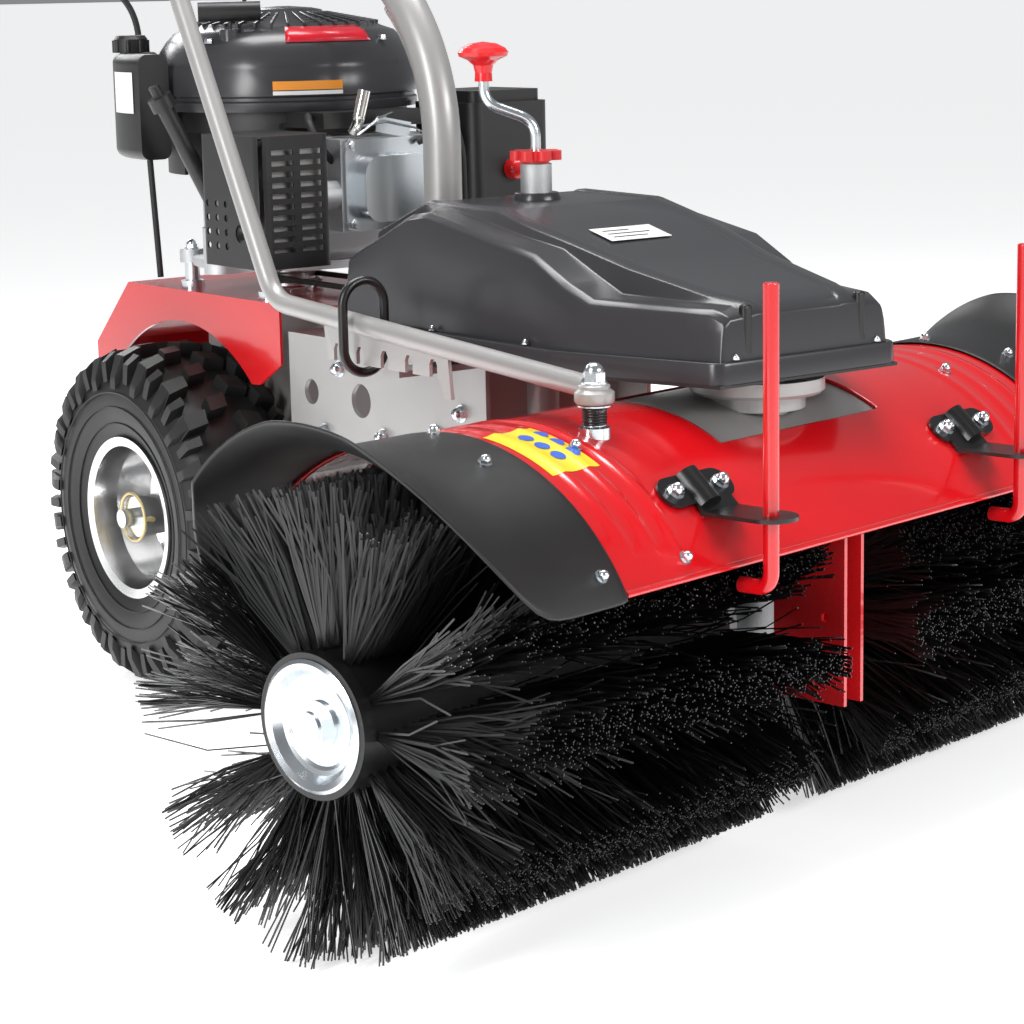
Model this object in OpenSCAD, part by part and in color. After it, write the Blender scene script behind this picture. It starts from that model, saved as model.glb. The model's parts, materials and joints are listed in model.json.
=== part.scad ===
// Walk-behind power sweeper: a petrol drive unit with a swinging, full-width rotating broom.
// Row frame: +Z up, floor at z = 0, front (broom side) at -Y, left end of the broom at -X.
// chassis() places pieces measured from the swivel axis; head() also turns them with the broom head.

/* [Broom] */
// Diameter over the bristle tips
brush_d = 380; // [300:1:420]
// Length over both end discs
brush_len = 990; // [700:1:1200]
// Outer diameter of the plastic ring core
core_d = 114; // [80:1:140]
// Diameter of the dished zinc end disc
disc_d = 106; // [80:1:130]
// Width of the gap between the two broom halves
broom_gap = 96; // [90:1:130]
// Broom shaft diameter
shaft_d = 25; // [18:0.5:30]
// Distance of the broom shaft behind the swivel axis
shaft_back = 50; // [50:0.5:60]

/* [Hood] */
// Air between bristle tips and hood
hood_gap = 11; // [6:0.5:20]
// Sheet thickness of the hood
hood_wall = 2.5; // [1.5:0.1:4]
// Length of the red hood
hood_len = 770; // [500:1:900]
// Thickness of the plastic end fenders
fender_wall = 3; // [2:0.1:5]
// How far a fender overlaps the hood
fender_lap = 57; // [15:1:80]
// Height of the fender's outward flare
flare = 32; // [10:1:40]
// Front lip angle above level, seen from the shaft
lip_front = 29; // [10:1:45]
// Rear lip angle above level
lip_rear = 20; // [5:1:45]
// Distance of each upright peg from the middle
peg_x = 182; // [120:1:260]
// Peg rod diameter
peg_d = 13; // [8:0.5:20]
// Height of the peg tops above the floor
peg_top = 514; // [440:1:600]

/* [Swivel] */
// Angle the head stands at
head_turn = 10; // [-20:10:20]
// Angle between two locking notches
notch_step = 10; // [5:1:15]
// Neck bearing bore
neck_bore = 40; // [30:0.5:50]

/* [Wheels] */
// Tyre outer diameter
tyre_d = 372; // [300:1:420]
// Tyre width
tyre_w = 138; // [100:1:160]
// Distance between tyre middles
track = 242; // [230:1:400]
// Rim flange diameter
rim_d = 177; // [150:1:200]
// Distance of the wheel axle behind the swivel axis
wheel_back = 811; // [780:1:900]
// Wheel axle diameter
axle_d = 20; // [15:0.5:30]

/* [Frame and cover] */
// Side plate thickness
plate_t = 5; // [3:0.5:8]
// Outer distance over the two side plates
frame_w = 200; // [160:1:220]
// Cover sheet thickness
cover_wall = 3; // [2:0.1:5]
// Largest width of the belt cover
cover_w = 300; // [240:1:340]
// Height of the belt middle above the floor
belt_z = 441; // [436:0.5:446]

/* [Engine] */
// Distance of the crankshaft behind the swivel axis
engine_back = 745; // [730:1:760]
// Diameter of the blower shroud
shroud_d = 280; // [240:1:300]

/* [Handlebar] */
// Steering column tube
column_d = 38; // [30:0.5:45]
// Handlebar tube
bar_d = 25; // [20:0.5:32]
// Distance between the two grips
grip_span = 560; // [480:1:640]
// Height of the grips above the floor
grip_z = 1010; // [900:1:1100]

/* [Adjusting rod] */
// Rod diameter
rod_d = 19; // [14:0.5:25]
// Rod pivot, to the left of the swivel axis
rod_x = 221; // [200:1:240]
// Rod pivot, ahead of the swivel axis
rod_y = -5; // [-20:1:10]
// Wire diameter of the guide loop
loop_wire = 9; // [6:0.5:12]

/* [Support wheel] */
// Support wheel diameter
jockey_d = 100; // [80:1:110]
// Support wheel width
jockey_w = 32; // [24:1:40]
// Crank spindle, behind the swivel axis
spindle_back = 309; // [300:1:330]

/* [Hidden] */
$fn = 48;
eps = 0.01;
run = 0.05;          // radial clearance of a running fit
gap = 0.4;           // clearance between separate bodies
swivel_x = 12.95;      // puts the row origin under the middle of the whole box
swivel_y = -483;
brush_r = brush_d / 2;
shaft_z = brush_r;
hood_r = brush_r + hood_gap;
hood_out = hood_r + hood_wall;
half = brush_len / 2;
axle_z = tyre_d / 2;
hood_half = hood_len / 2;
deck_z = 428;
engine_z = 456;
disc_t = 8;

red = [0.80, 0.02, 0.03];
black = [0.06, 0.06, 0.07];
grey = [0.62, 0.61, 0.60];
zinc = [0.75, 0.77, 0.78];

function unit(v) = v / norm(v);
function eul(X, Y, Z) = abs(X[2]) > 0.9999
    ? (X[2] < 0 ? [atan2(Y[0], Y[1]), 90, 0] : [atan2(-Y[0], Y[1]), -90, 0])
    : [atan2(Y[2], Z[2]), -asin(X[2]), atan2(X[1], X[0])];
function turn(pts, i) = acos(unit(pts[i] - pts[i - 1]) * unit(pts[i + 1] - pts[i]));

// Points of the bend of radius r at inner point i, in k equal steps
function bend(pts, i, r, k) = let(
        a = unit(pts[i] - pts[i - 1]),
        b = unit(pts[i + 1] - pts[i]),
        t = turn(pts, i),
        x = cross(a, unit(cross(a, b))),
        c = pts[i] - a * r * tan(t / 2) - x * r)
    [for (j = [0 : k]) c + r * (x * cos(j * t / k) + a * sin(j * t / k))];

// The whole route: its ends and the bends between them
function route(pts, r, k) = [pts[0], for (i = [1 : len(pts) - 2]) each bend(pts, i, r, k), pts[len(pts) - 1]];

module chassis() translate([swivel_x, swivel_y, 0]) children();
module head() translate([swivel_x, swivel_y, 0]) rotate([0, 0, head_turn]) children();

module bar(a, b, d) {
    v = b - a;
    translate(a) rotate([0, acos(v[2] / norm(v)), atan2(v[1], v[0])]) cylinder(d = d, h = norm(v));
}

// Ball at the joint of two bars, turned so that both its poles lie inside them
module knuckle(p, v, d) translate(p) rotate([0, acos(v[2] / norm(v)), atan2(v[1], v[0])]) sphere(d = d);

// A round bar bent to radius r at every inner point, in k steps; the balls between may be turned
module bent(pts, r, d, k = 4, turned = false) {
    line = route(pts, r, k);
    for (i = [0 : len(line) - 2])
        bar(line[i], line[i + 1], d);
    for (i = [1 : len(line) - 2])
        if (turned)
            knuckle(line[i], line[i] - line[i - 1], d * 1.006);
        else
            translate(line[i]) sphere(d = d * 1.006);
}

module mirrored_x() {
    children();
    mirror([1, 0, 0]) children();
}

// Cylinder along X, from x0, of diameter d, on the axis (y, z)
module along_x(x0, y, z, d, h) translate([x0, y, z]) rotate([0, 90, 0]) cylinder(d = d, h = h);

// Prism of a side view drawn as (y, z), from x0 to x0 + w
module side(x0, w, pts) translate([x0, 0, 0]) rotate([90, 0, 90]) linear_extrude(w) polygon(pts);

module plan(z0, h, pts) translate([0, 0, z0]) linear_extrude(h) polygon(pts);

module block(x0, x1, y0, y1, z0, z1) translate([x0, y0, z0]) cube([x1 - x0, y1 - y0, z1 - z0]);

module round_rect(w, h, r) {
    square([w - 2 * r, h], center = true);
    square([w, h - 2 * r], center = true);
    for (x = [-1, 1])
        for (y = [-1, 1])
            translate([x * (w / 2 - r), y * (h / 2 - r)]) circle(r = r);
}

// Dome-headed bolt standing on z = 0
module dome_bolt(d) {
    cylinder(d = d * 1.9, h = d * 0.2);
    translate([0, 0, d * 0.2]) cylinder(d = d * 1.6, h = d * 0.45, $fn = 6);
    translate([0, 0, d * 0.65]) intersection() {
        sphere(d = d * 1.35);
        translate([-d, -d, 0]) cube([2 * d, 2 * d, d]);
    }
}

// ---------------------------------------------------------------- frame
arm_top = 412;
plate_top = 401;
pan_z = arm_top + 0.2;
pan_t = 2.8;
cover_z = pan_z + pan_t + 0.05;
stem_d = 25;
tube_bot = 262;
ix = 41;             // outside of the inner plates between the wheels
gear_half = 35.9;
neck_drum = 84;
neck_flange = 118;
neck_z = 379.9;
flange_z = 393;
flange_top = 407;
loop_y = 292;
rod_at = [rod_x * -cos(head_turn) - rod_y * sin(head_turn), -rod_x * sin(head_turn) + rod_y * cos(head_turn)];
loop_x = rod_at[0] + 3.3;
loop_half = rod_d / 2 + 8.5 + loop_wire / 2;
loop_low = 401.7;
loop_high = 485.5;
column_y = 461;
column_bend = 200;
column_turn = 50;
column_knee = [0, column_y, 590 + column_bend * tan(column_turn / 2)];
bar_y = 840;
column_len = (bar_y - column_y) / sin(column_turn);
bar_z = column_knee[2] + column_len * cos(column_turn);
column_end = [0, bar_y, bar_z];
grip_x = grip_span / 2;
grip_end = 1180;

module main_frame() color(grey) chassis() {
    difference() {
        union() {
            mirrored_x() side(frame_w / 2 - plate_t, plate_t, [[262, plate_top], [262, 345], [300, 312],
                [420, 290], [600, 290], [600, plate_top]]);
            block(-frame_w / 2 + plate_t, frame_w / 2 - plate_t, 262, 600, plate_top - 5, plate_top);
            block(-frame_w / 2 + plate_t, frame_w / 2 - plate_t, 595, 600, 290, plate_top - 5);
            mirrored_x() side(ix - plate_t, plate_t, [[600, 290], [600, deck_z - 3.1], [860, deck_z - 3.1],
                [860, 150], [770, 130], [700, 200]]);
            block(-42, 42, 40, 262, flange_z + 3, arm_top);
            block(-42, 42, 262, 275, plate_top, arm_top);
            translate([0, spindle_back, tube_bot]) cylinder(d = stem_d + 12, h = plate_top - tube_bot);
            block(-frame_w / 2 + plate_t, frame_w / 2 - plate_t, spindle_back - 3, spindle_back + 3, 330, plate_top - 5);
            // lug that carries the guide loop
            block(loop_x + loop_half + loop_wire / 2 + 0.05, -frame_w / 2, loop_y - 15, loop_y + 15,
                plate_top - 6, plate_top);
            block(loop_x + loop_half + loop_wire / 2 + 0.05, loop_x + loop_half + loop_wire / 2 + 5, loop_y - 15,
                loop_y + 15, plate_top, 424);
        }
        translate([0, 0, flange_z]) cylinder(d = neck_flange + 0.1, h = 40);
        translate([0, spindle_back, tube_bot - 1]) cylinder(d = stem_d + 2 * run, h = 200);
        along_x(-60, wheel_back, axle_z, axle_d + 12, 120);
        // lightening windows in the side plates
        along_x(-frame_w, 470, 343, 34, 2 * frame_w);
        along_x(-frame_w, 560, 343, 26, 2 * frame_w);
    }
}

module swivel_neck() color(grey) chassis() difference() {
    union() {
        translate([0, 0, neck_z]) cylinder(d = neck_drum, h = flange_z - neck_z);
        translate([0, 0, flange_z]) cylinder(d1 = neck_flange - 6, d2 = neck_flange, h = 3);
        translate([0, 0, flange_z + 3]) cylinder(d = neck_flange, h = flange_top - flange_z - 3);
    }
    translate([0, 0, neck_z - 1]) cylinder(d = neck_bore + 2 * run, h = 60);
}

// Plan outline of the belt housing, drawn in from the rim by t
function outline(t) = [[-103 + t, -68 + t], [103 - t, -68 + t], [cover_w / 2 - t, 98 + t / 3],
    [cover_w / 2 - t, 440 - t], [-cover_w / 2 + t, 440 - t], [-cover_w / 2 + t, 98 + t / 3]];

module belt_pan() color(black) chassis() difference() {
    plan(pan_z, pan_t, outline(0));
    translate([0, 0, pan_z - 1]) cylinder(d = 66, h = 5);
    translate([0, spindle_back, pan_z - 1]) cylinder(d = 40, h = 5);
}

module cover_low(t) intersection() {
    plan(cover_z - 1, 200, outline(8 + t));
    side(-200, 400, [[-60 + t, 400], [-60 + t, 476 - t], [72, 478 - t], [143, 513 - t], [300, 541 - t],
        [330, 537 - t], [432 - t, 492 - t], [432 - t, 400]]);
}

module cover_high(t) intersection() {
    plan(cover_z - 1, 200, [[-66 + t, -64 + t], [66 - t, -64 + t], [74 - t, -20], [100 - t, 190], [100 - t, 432 - t],
        [-100 + t, 432 - t], [-100 + t, 190], [-74 + t, -20]]);
    side(-200, 400, [[-64 + t, 400], [-64 + t, 466 - t], [-50 + t, 484 - t], [72, 503 - t], [143, 522 - t],
        [240, 545 - t], [350, 547 - t], [432 - t, 515 - t], [432 - t, 400]]);
}

sleeve_d = 30;
sleeve_foot = 27;
sleeve_low = 536;
sleeve_top = 578;

module belt_cover() color(black) chassis() difference() {
    union() {
        plan(cover_z, 20, outline(0));
        intersection() {
            union() {
                cover_low(0);
                cover_high(0);
            }
            block(-200, 200, -100, 500, cover_z, 600);
        }
    }
    plan(cover_z - 1, 18.5, outline(cover_wall));
    intersection() {
        union() {
            cover_low(cover_wall);
            cover_high(cover_wall);
        }
        block(-200, 200, -100, 500, cover_z - 1, 600);
    }
    translate([0, spindle_back, sleeve_low - 20]) cylinder(d = sleeve_foot + 0.1, h = 60);
    translate([0, spindle_back, 542.5]) cylinder(d = 62, h = 60);
    block(-64, 64, 425, 450, belt_z - 12, belt_z + 12);
    block(-24, 24, 425, 450, belt_z - 12, 600);
}

module cover_screws() color(zinc) chassis() {
    for (y = [140, 280, 420])
        for (m = [-1, 1])
            translate([m * (cover_w / 2 - 4), y, cover_z + 20]) dome_bolt(3.6);
    for (m = [-1, 1])
        translate([m * 82, -64, cover_z + 20]) dome_bolt(3.6);
}

module rear_body() color(red) chassis() {
    rear_shell();
    side(-102, 204, [[924, deck_z - 0.1], [1004, 355.4], [1004, 352], [924, deck_z - 3.4]]);
}

module rear_shell() difference() {
    union() {
        block(-103, 103, 560, 1005, deck_z - 3, deck_z);
        mirrored_x() side(100, 3, [[612, deck_z - 3], [612, 365], [655, 340], [1005, 318], [1005, deck_z - 3]]);
        side(-100, 200, [[1002, deck_z - 3], [1002, 318], [1005, 318], [1005, deck_z - 3]]);
    }
    along_x(-150, wheel_back, axle_z, tyre_d + 44, 300);
    side(-150, 300, [[925, deck_z + 1], [1010, 350], [1010, deck_z + 1]]);
    translate([0, engine_back, deck_z - 5]) cylinder(d = 26, h = 10);
}

module frame_screws() color(zinc) chassis() mirrored_x()
    for (p = [[535, 305], [505, 372], [430, 312], [300, 350], [340, 325]])
        translate([frame_w / 2, p[0], p[1]]) rotate([0, 90, 0]) dome_bolt(9);

module transaxle() color([0.66, 0.67, 0.68]) chassis() difference() {
    union() {
        along_x(-gear_half, wheel_back, axle_z, 118, 2 * gear_half);
        block(-gear_half, gear_half, wheel_back - 45, wheel_back + 35, axle_z, 322);
        translate([0, wheel_back - 8, 322]) cylinder(d = 54, h = 24);
    }
    along_x(-50, wheel_back, axle_z, axle_d + 2 * run, 100);
}

// ---------------------------------------------------------------- engine
crank_d = 22;

module at_engine() chassis() translate([0, engine_back, 0]) children();

module crankcase() color([0.60, 0.61, 0.62]) at_engine() difference() {
    union() {
        translate([0, 0, engine_z]) cylinder(d = 214, h = 9);
        translate([0, 0, engine_z + 9]) cylinder(d = 188, h = 70);
        block(-56, 56, -128, 0, engine_z + 20, engine_z + 79);
        for (a = [45, 135, 225, 315])
            rotate([0, 0, a]) translate([112, 0, engine_z]) cylinder(d = 26, h = 14);
        translate([-122, -52, engine_z]) cylinder(d = 34, h = 48);
        block(-122, -60, -69, -35, engine_z, engine_z + 48);
    }
    translate([0, 0, engine_z - 1]) cylinder(d = crank_d + 2 * run, h = 44);
    translate([-122, -52, engine_z + 20]) cylinder(d = 18.1, h = 60);
}

module engine_studs() color([0.55, 0.03, 0.04]) at_engine()
    for (a = [45, 135, 225, 315])
        rotate([0, 0, a]) translate([112, 0, 0]) {
            translate([0, 0, deck_z]) cylinder(d = 26, h = 8);
            translate([0, 0, deck_z + 8]) cylinder(d = 16, h = engine_z - deck_z - 8);
            translate([0, 0, engine_z + 14]) dome_bolt(8);
        }

module cylinder_block() color([0.58, 0.59, 0.60]) at_engine() translate([-12, 0, 0]) {
    block(-44, 56, -176, -128.1, 508, 590);
    for (i = [0 : 6])
        block(-58, 64, -136 - i * 6.2, -133.5 - i * 6.2, 500, 598);
    block(-56, 62, -204, -176, 504, 596);
    translate([-56, -190, 541]) rotate([0, -90, 0]) cylinder(d = 30, h = 30);
}

module valve_cover() color(zinc) at_engine() translate([-12, 0, 0]) difference() {
    union() {
        translate([3, -204.1, 550]) rotate([90, 0, 0]) linear_extrude(4) round_rect(112, 92, 16);
        translate([3, -208.1, 546]) rotate([90, 0, 0]) linear_extrude(18) round_rect(88, 66, 18);
    }
    translate([-26, -240, 578]) sphere(d = 20);
}

module blower_housing() color(black) at_engine() {
    difference() {
        translate([0, 0, 556]) cylinder(d = shroud_d - 22, h = 66);
        translate([0, 0, 550]) cylinder(d = shroud_d - 30, h = 66);
        block(-76, 58, -200, 0, 540, 610);
        block(-150, -80, -100, 0, 540, 600);
    }
    translate([0, 0, 535.1]) cylinder(d = 60, h = 87);
    block(-70, 54, -178, -100, 606, 622);
}

module shroud_top() color(black) at_engine() difference() {
    union() {
        translate([0, 0, 622.1]) rotate_extrude() polygon([[0, 0], [shroud_d / 2, 0], [shroud_d / 2, 46],
            [shroud_d / 2 - 5, 60], [shroud_d / 2 - 22, 80], [shroud_d / 2 - 54, 95], [52, 103], [0, 106]]);
        translate([-100, -54, 622.1]) cylinder(d = 22, h = 84);
    }
    translate([-100, -54, 640]) cylinder(d = 5, h = 100);
    translate([0, 0, 610]) cylinder(d = shroud_d - 40, h = 60);
}

module starter_grip() color(black) at_engine() translate([-100, -54, 0]) {
    translate([0, 0, 645]) cylinder(d = 4, h = 76);
    translate([-28, 16, 724]) rotate([0, 90, -30]) cylinder(d = 20, h = 64);
}

module fuel_tank() color(black) at_engine() difference() {
    union() {
        rotate([0, 0, 125]) rotate_extrude(angle = 57) translate([shroud_d / 2 + 25, 628])
            round_rect(36, 108, 10);
        rotate([0, 0, 142]) translate([shroud_d / 2 + 25, 0, 670]) cylinder(d = 24, h = 20);
    }
    rotate([0, 0, 142]) translate([shroud_d / 2 + 25, 0, 640]) cylinder(d = 18, h = 60);
}

module fuel_cap() color(black) at_engine() rotate([0, 0, 142]) translate([shroud_d / 2 + 25, 0, 682.4])
    difference() {
        union() {
            cylinder(d = 36, h = 14);
            translate([0, 0, 14]) cylinder(d1 = 36, d2 = 30, h = 4);
            for (a = [0 : 45 : 315]) rotate([0, 0, a]) translate([17.5, 0, 0]) cylinder(d = 5, h = 13, $fn = 16);
        }
        translate([0, 0, -1]) cylinder(d = 24.1, h = 9);
    }

guard_x0 = -180;
guard_x1 = -95;
guard_y0 = 515;
guard_y1 = 631;
guard_z0 = 475;
guard_z1 = 605;

module muffler() color([0.25, 0.24, 0.23]) chassis() {
    block(guard_x0 + 10, guard_x1 - 6, guard_y0 + 10, guard_y1 - 10, guard_z0 + 10, guard_z1 - 10);
    along_x(guard_x1 - 6.01, engine_back - 190, 541, 26, 2.8);
}

module muffler_guard() color(black) chassis() difference() {
    translate([(guard_x0 + guard_x1) / 2, (guard_y0 + guard_y1) / 2, guard_z0])
        linear_extrude(guard_z1 - guard_z0) round_rect(guard_x1 - guard_x0, guard_y1 - guard_y0, 12);
    block(guard_x0 + 2, guard_x1 + 5, guard_y0 + 2, guard_y1 + 5, guard_z0 + 2, guard_z1 - 2);
    for (c = [0, 1])
        for (i = [0 : 9])
            block(guard_x0 + 14 + c * 33, guard_x0 + 39 + c * 33, guard_y0 - 1, guard_y0 + 4,
                guard_z0 + 16 + i * 10.6, guard_z0 + 21 + i * 10.6);
    for (i = [0 : 3])
        for (j = [0 : 2])
            along_x(guard_x0 - 1, guard_y0 + 66 + j * 17, guard_z0 + 20 + i * 14, 7, 5);
    for (i = [0, 1])
        along_x(guard_x0 - 1, guard_y0 + 40 + i * 12, guard_z0 + 34 + i * 50, 18, 5);
}

oil_foot = [-122, engine_back - 52, engine_z + 20];
oil_knee = [-122, engine_back - 52, 520];
oil_top = [-176, engine_back - 46, 628];

module oil_filler_tube() color(black) chassis() difference() {
    union() {
        bar(oil_foot, oil_knee, 18);
        translate(oil_knee) sphere(d = 18.2);
        bar(oil_knee, oil_top, 18);
    }
    bar(oil_knee + 0.15 * (oil_top - oil_knee), oil_knee + 1.1 * (oil_top - oil_knee), 13);
}

module dipstick() color(black) chassis() {
    axis = unit(oil_top - oil_knee);
    bar(oil_top + 0.5 * axis, oil_top + 14 * axis, 26);
    bar(oil_top + 13 * axis, oil_top + 26 * axis, 12);
    bar(oil_top - 80 * axis, oil_top + 1 * axis, 5);
}

module spark_plug_boot() color([0.8, 0.78, 0.72]) chassis()
    bent([[-45, engine_back - 194, 603], [-45, engine_back - 204, 616], [-38, engine_back - 206, 644]], 8, 13, 3);

module carburettor() chassis() {
    along_x(52.3, engine_back - 160, 560, 40, box_x0 - 52.5);
    block(54, 84, engine_back - 178, engine_back - 142, 542, 592);
}

box_x0 = 88.2;
box_x1 = 190;
box_y0 = 528;

module filter_box() chassis() difference() {
    union() {
        translate([(box_x0 + box_x1) / 2, box_y0 + 56, 522]) linear_extrude(104) round_rect(box_x1 - box_x0, 112, 14);
        translate([(box_x0 + box_x1) / 2, box_y0 + 56, 626]) linear_extrude(12) round_rect(box_x1 - box_x0 - 12, 100, 12);
    }
    translate([138, box_y0 - 1, 557]) rotate([-90, 0, 0]) cylinder(d = 22.6, h = 13);
}

module primer_bulb() color(red) chassis() translate([138, box_y0 - 8, 557]) rotate([-90, 0, 0]) {
    cylinder(d = 22, h = 12);
    intersection() {
        sphere(d = 22);
        translate([-20, -20, -20]) cube([40, 40, 20.01]);
    }
}

// ---------------------------------------------------------------- belt drive
pulley_in_d = 108;
pulley_en_d = 66;

// Grooved pulley, middle of its groove at z = 0
module pulley(d, bore) difference() {
    rotate_extrude() polygon([[0, -9], [d / 2, -9], [d / 2, -6], [d / 2 - 9, -3], [d / 2 - 9, 3], [d / 2, 6],
        [d / 2, 9], [0, 9]]);
    translate([0, 0, -12]) cylinder(d = bore, h = 24);
}

module engine_pulley() color([0.5, 0.5, 0.52]) at_engine() {
    translate([0, 0, belt_z]) pulley(pulley_en_d, crank_d - 0.1);
    translate([0, 0, 431]) cylinder(d = crank_d, h = engine_z + 40 - 431);
}

module input_shaft() color(zinc) chassis() {
    translate([0, 0, belt_z]) pulley(pulley_in_d, 19);
    translate([0, 0, 172]) cylinder(d = 20, h = belt_z + 12 - 172);
    for (i = [0 : 5])
        translate([0, 0, 174 + i * 6]) cylinder(d = 29, h = 3);
}

// Outline of a belt round two wheels of radius r1 and r2, the second at distance c along +Y
function belt_loop(r1, r2, c, n = 24) = let(a = asin((r1 - r2) / c)) concat(
    [for (i = [0 : n]) let(t = 180 - a + i * (180 + 2 * a) / n) r1 * [cos(t), sin(t)]],
    [for (i = [0 : n]) let(t = a + i * (180 - 2 * a) / n) [0, c] + r2 * [cos(t), sin(t)]]);

module drive_belt() color([0.05, 0.05, 0.05]) chassis() {
    r1 = pulley_in_d / 2 - 7.5;
    r2 = pulley_en_d / 2 - 7.5;
    translate([0, 0, belt_z - 2.5]) linear_extrude(5) difference() {
        polygon(belt_loop(r1 + 6, r2 + 6, engine_back));
        polygon(belt_loop(r1, r2, engine_back));
    }
}

// ---------------------------------------------------------------- handlebar
module column_pipe() chassis()
    bent([[0, column_y, plate_top + 0.05], column_knee,
        column_end - unit(column_end - column_knee) * (bar_d / 2 + 0.1)], column_bend, column_d, 5);

module column_strip() chassis() {
    r = column_bend;
    y0 = column_d / 2 - 1;
    n = 8;
    // flange along the back of the tube, drawn as (y, z)
    side(-1.5, 3, concat(
        [[column_y + y0, 440], [column_y + y0, 590]],
        [for (i = [1 : n]) [column_y + r - (r - y0) * cos(i * column_turn / n), 590 + (r - y0) * sin(i * column_turn / n)]],
        [for (i = [n : -1 : 0]) [column_y + r - (r - y0 - 12) * cos(i * column_turn / n),
            590 + (r - y0 - 12) * sin(i * column_turn / n)]],
        [[column_y + y0 + 12, 440]]));
    for (z = [470 : 30 : 590])
        along_x(-3.4, column_y + y0 + 6.5, z, 6, 1.95);
}

module handlebar() color(grey) chassis()
    bent([[-grip_x, grip_end, grip_z], [-grip_x, bar_y, bar_z], [grip_x, bar_y, bar_z], [grip_x, grip_end, grip_z]],
        70, bar_d, 4, true);

arm_dir = unit([0, grip_end - bar_y, grip_z - bar_z]);
function on_arm(y) = [grip_x, y, bar_z + (y - bar_y) * (grip_z - bar_z) / (grip_end - bar_y)];

module grips() color(black) chassis() mirrored_x() difference() {
    union() {
        bar(on_arm(1062), on_arm(1186), 33);
        bar(on_arm(1060), on_arm(1066), 40);
    }
    bar(on_arm(1050), on_arm(grip_end + 0.2), bar_d + 0.04);
}

lever_y = 1036;
lever_z = bar_z - 30;

module lever_clamps() chassis() mirrored_x() difference() {
    union() {
        bar(on_arm(1018), on_arm(1050), 37);
        block(grip_x - 11, grip_x + 11, lever_y - 12, lever_y + 12, lever_z - 11, lever_z + 20);
    }
    bar(on_arm(1000), on_arm(1070), bar_d + 0.04);
    block(grip_x - 6.5, grip_x + 6.5, lever_y - 13, lever_y + 25, lever_z - 12, lever_z + 11);
    along_x(grip_x - 20, lever_y, lever_z, 6, 40);
}

module hand_lever(x) translate([x, 0, 0]) {
    along_x(-6, lever_y, lever_z, 16, 12);
    bent([[0, lever_y + 2, lever_z - 2], [0, lever_y + 34, lever_z - 26], [0, lever_y + 140, lever_z - 14]], 18, 10);
    translate([0, lever_y + 140, lever_z - 14]) sphere(d = 13);
    along_x(-12.5, lever_y, lever_z, 6 - 2 * run, 25);
}

module drive_lever() color(black) chassis() hand_lever(-grip_x);
module broom_lever() color(black) chassis() hand_lever(grip_x);

throttle_x = 160;

module throttle_lever() color(black) chassis() {
    difference() {
        along_x(throttle_x - 4, bar_y, bar_z, bar_d + 22, 8);
        along_x(throttle_x - 10, bar_y, bar_z, bar_d + 2 * run, 20);
    }
    bar([throttle_x, bar_y + 20, bar_z + 6], [throttle_x, bar_y + 62, bar_z + 34], 8);
    translate([throttle_x, bar_y + 62, bar_z + 34]) sphere(d = 16);
}

module throttle_clamp() chassis() difference() {
    union() {
        along_x(throttle_x - 18, bar_y, bar_z, bar_d + 12, 13);
        along_x(throttle_x + 5, bar_y, bar_z, bar_d + 12, 13);
    }
    along_x(throttle_x - 40, bar_y, bar_z, bar_d + 0.04, 80);
}

cable_d = 7;

module drive_cable() chassis()
    bent([[-grip_x, lever_y - 16, lever_z - 4], [-268, 985, lever_z - 60], [-258, 950, 785],
        [-90, 905, 750], [-80, 893, deck_z + 6]], 50, cable_d);

module broom_cable() chassis()
    bent([[grip_x, lever_y - 16, lever_z - 4], [grip_x, 950, lever_z - 30], [40, 800, 905], [26, 545, 720],
        [27, column_y + 3, 590], [27, column_y, plate_top + 0.1]], 44, cable_d);

module throttle_cable() chassis()
    bent([[throttle_x + 26, bar_y - 24, bar_z - 8], [throttle_x - 20, bar_y - 30, bar_z - 70], [50, 905, 790],
        [50, 905, engine_z + 60]], 40, 5);

// ---------------------------------------------------------------- guide loop and adjusting rod
module guide_loop() color(black) chassis() {
    x0 = loop_x - loop_half;
    x1 = loop_x + loop_half;
    r = loop_half - 0.01;
    mid = (loop_low + loop_high) / 2;
    for (x = [x0, x1])
        translate([x, loop_y, loop_low + loop_half]) cylinder(d = loop_wire, h = loop_high - loop_low - 2 * loop_half);
    translate([loop_x, loop_y, loop_high - loop_half]) rotate([90, 0, 0])
        rotate_extrude(angle = 180) translate([loop_half, 0]) circle(d = loop_wire);
    translate([loop_x, loop_y, loop_low + loop_half]) rotate([90, 0, 0]) rotate([0, 0, 180])
        rotate_extrude(angle = 180) translate([loop_half, 0]) circle(d = loop_wire);
}

rod_eye_z = 423;
rod_slope = 0.067;
rod_knee_y = 436;
rod_knee = [rod_at[0], rod_knee_y, rod_eye_z + rod_slope * (rod_knee_y - rod_at[1])];
rod_at_eye = [rod_at[0], rod_at[1], rod_eye_z];
rod_up = [rod_at[0], 641, 830];
rod_end = [rod_at[0], 1000, 900];
bar_low = loop_low + loop_wire / 2 + 2.9;
notch_w = loop_wire + 2.4;
bar_top = rod_d / 2 + 0.1;
notch_deep = 16;

// Where the rod pivot stands along the machine with the head at angle a
function eye_y(a) = -rod_x * sin(a) + rod_y * cos(a);
function rod_z(y) = rod_eye_z + rod_slope * (y - rod_at[1]);

module at_rod_eye() chassis() translate([rod_at[0], rod_at[1], 0]) children();

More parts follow.
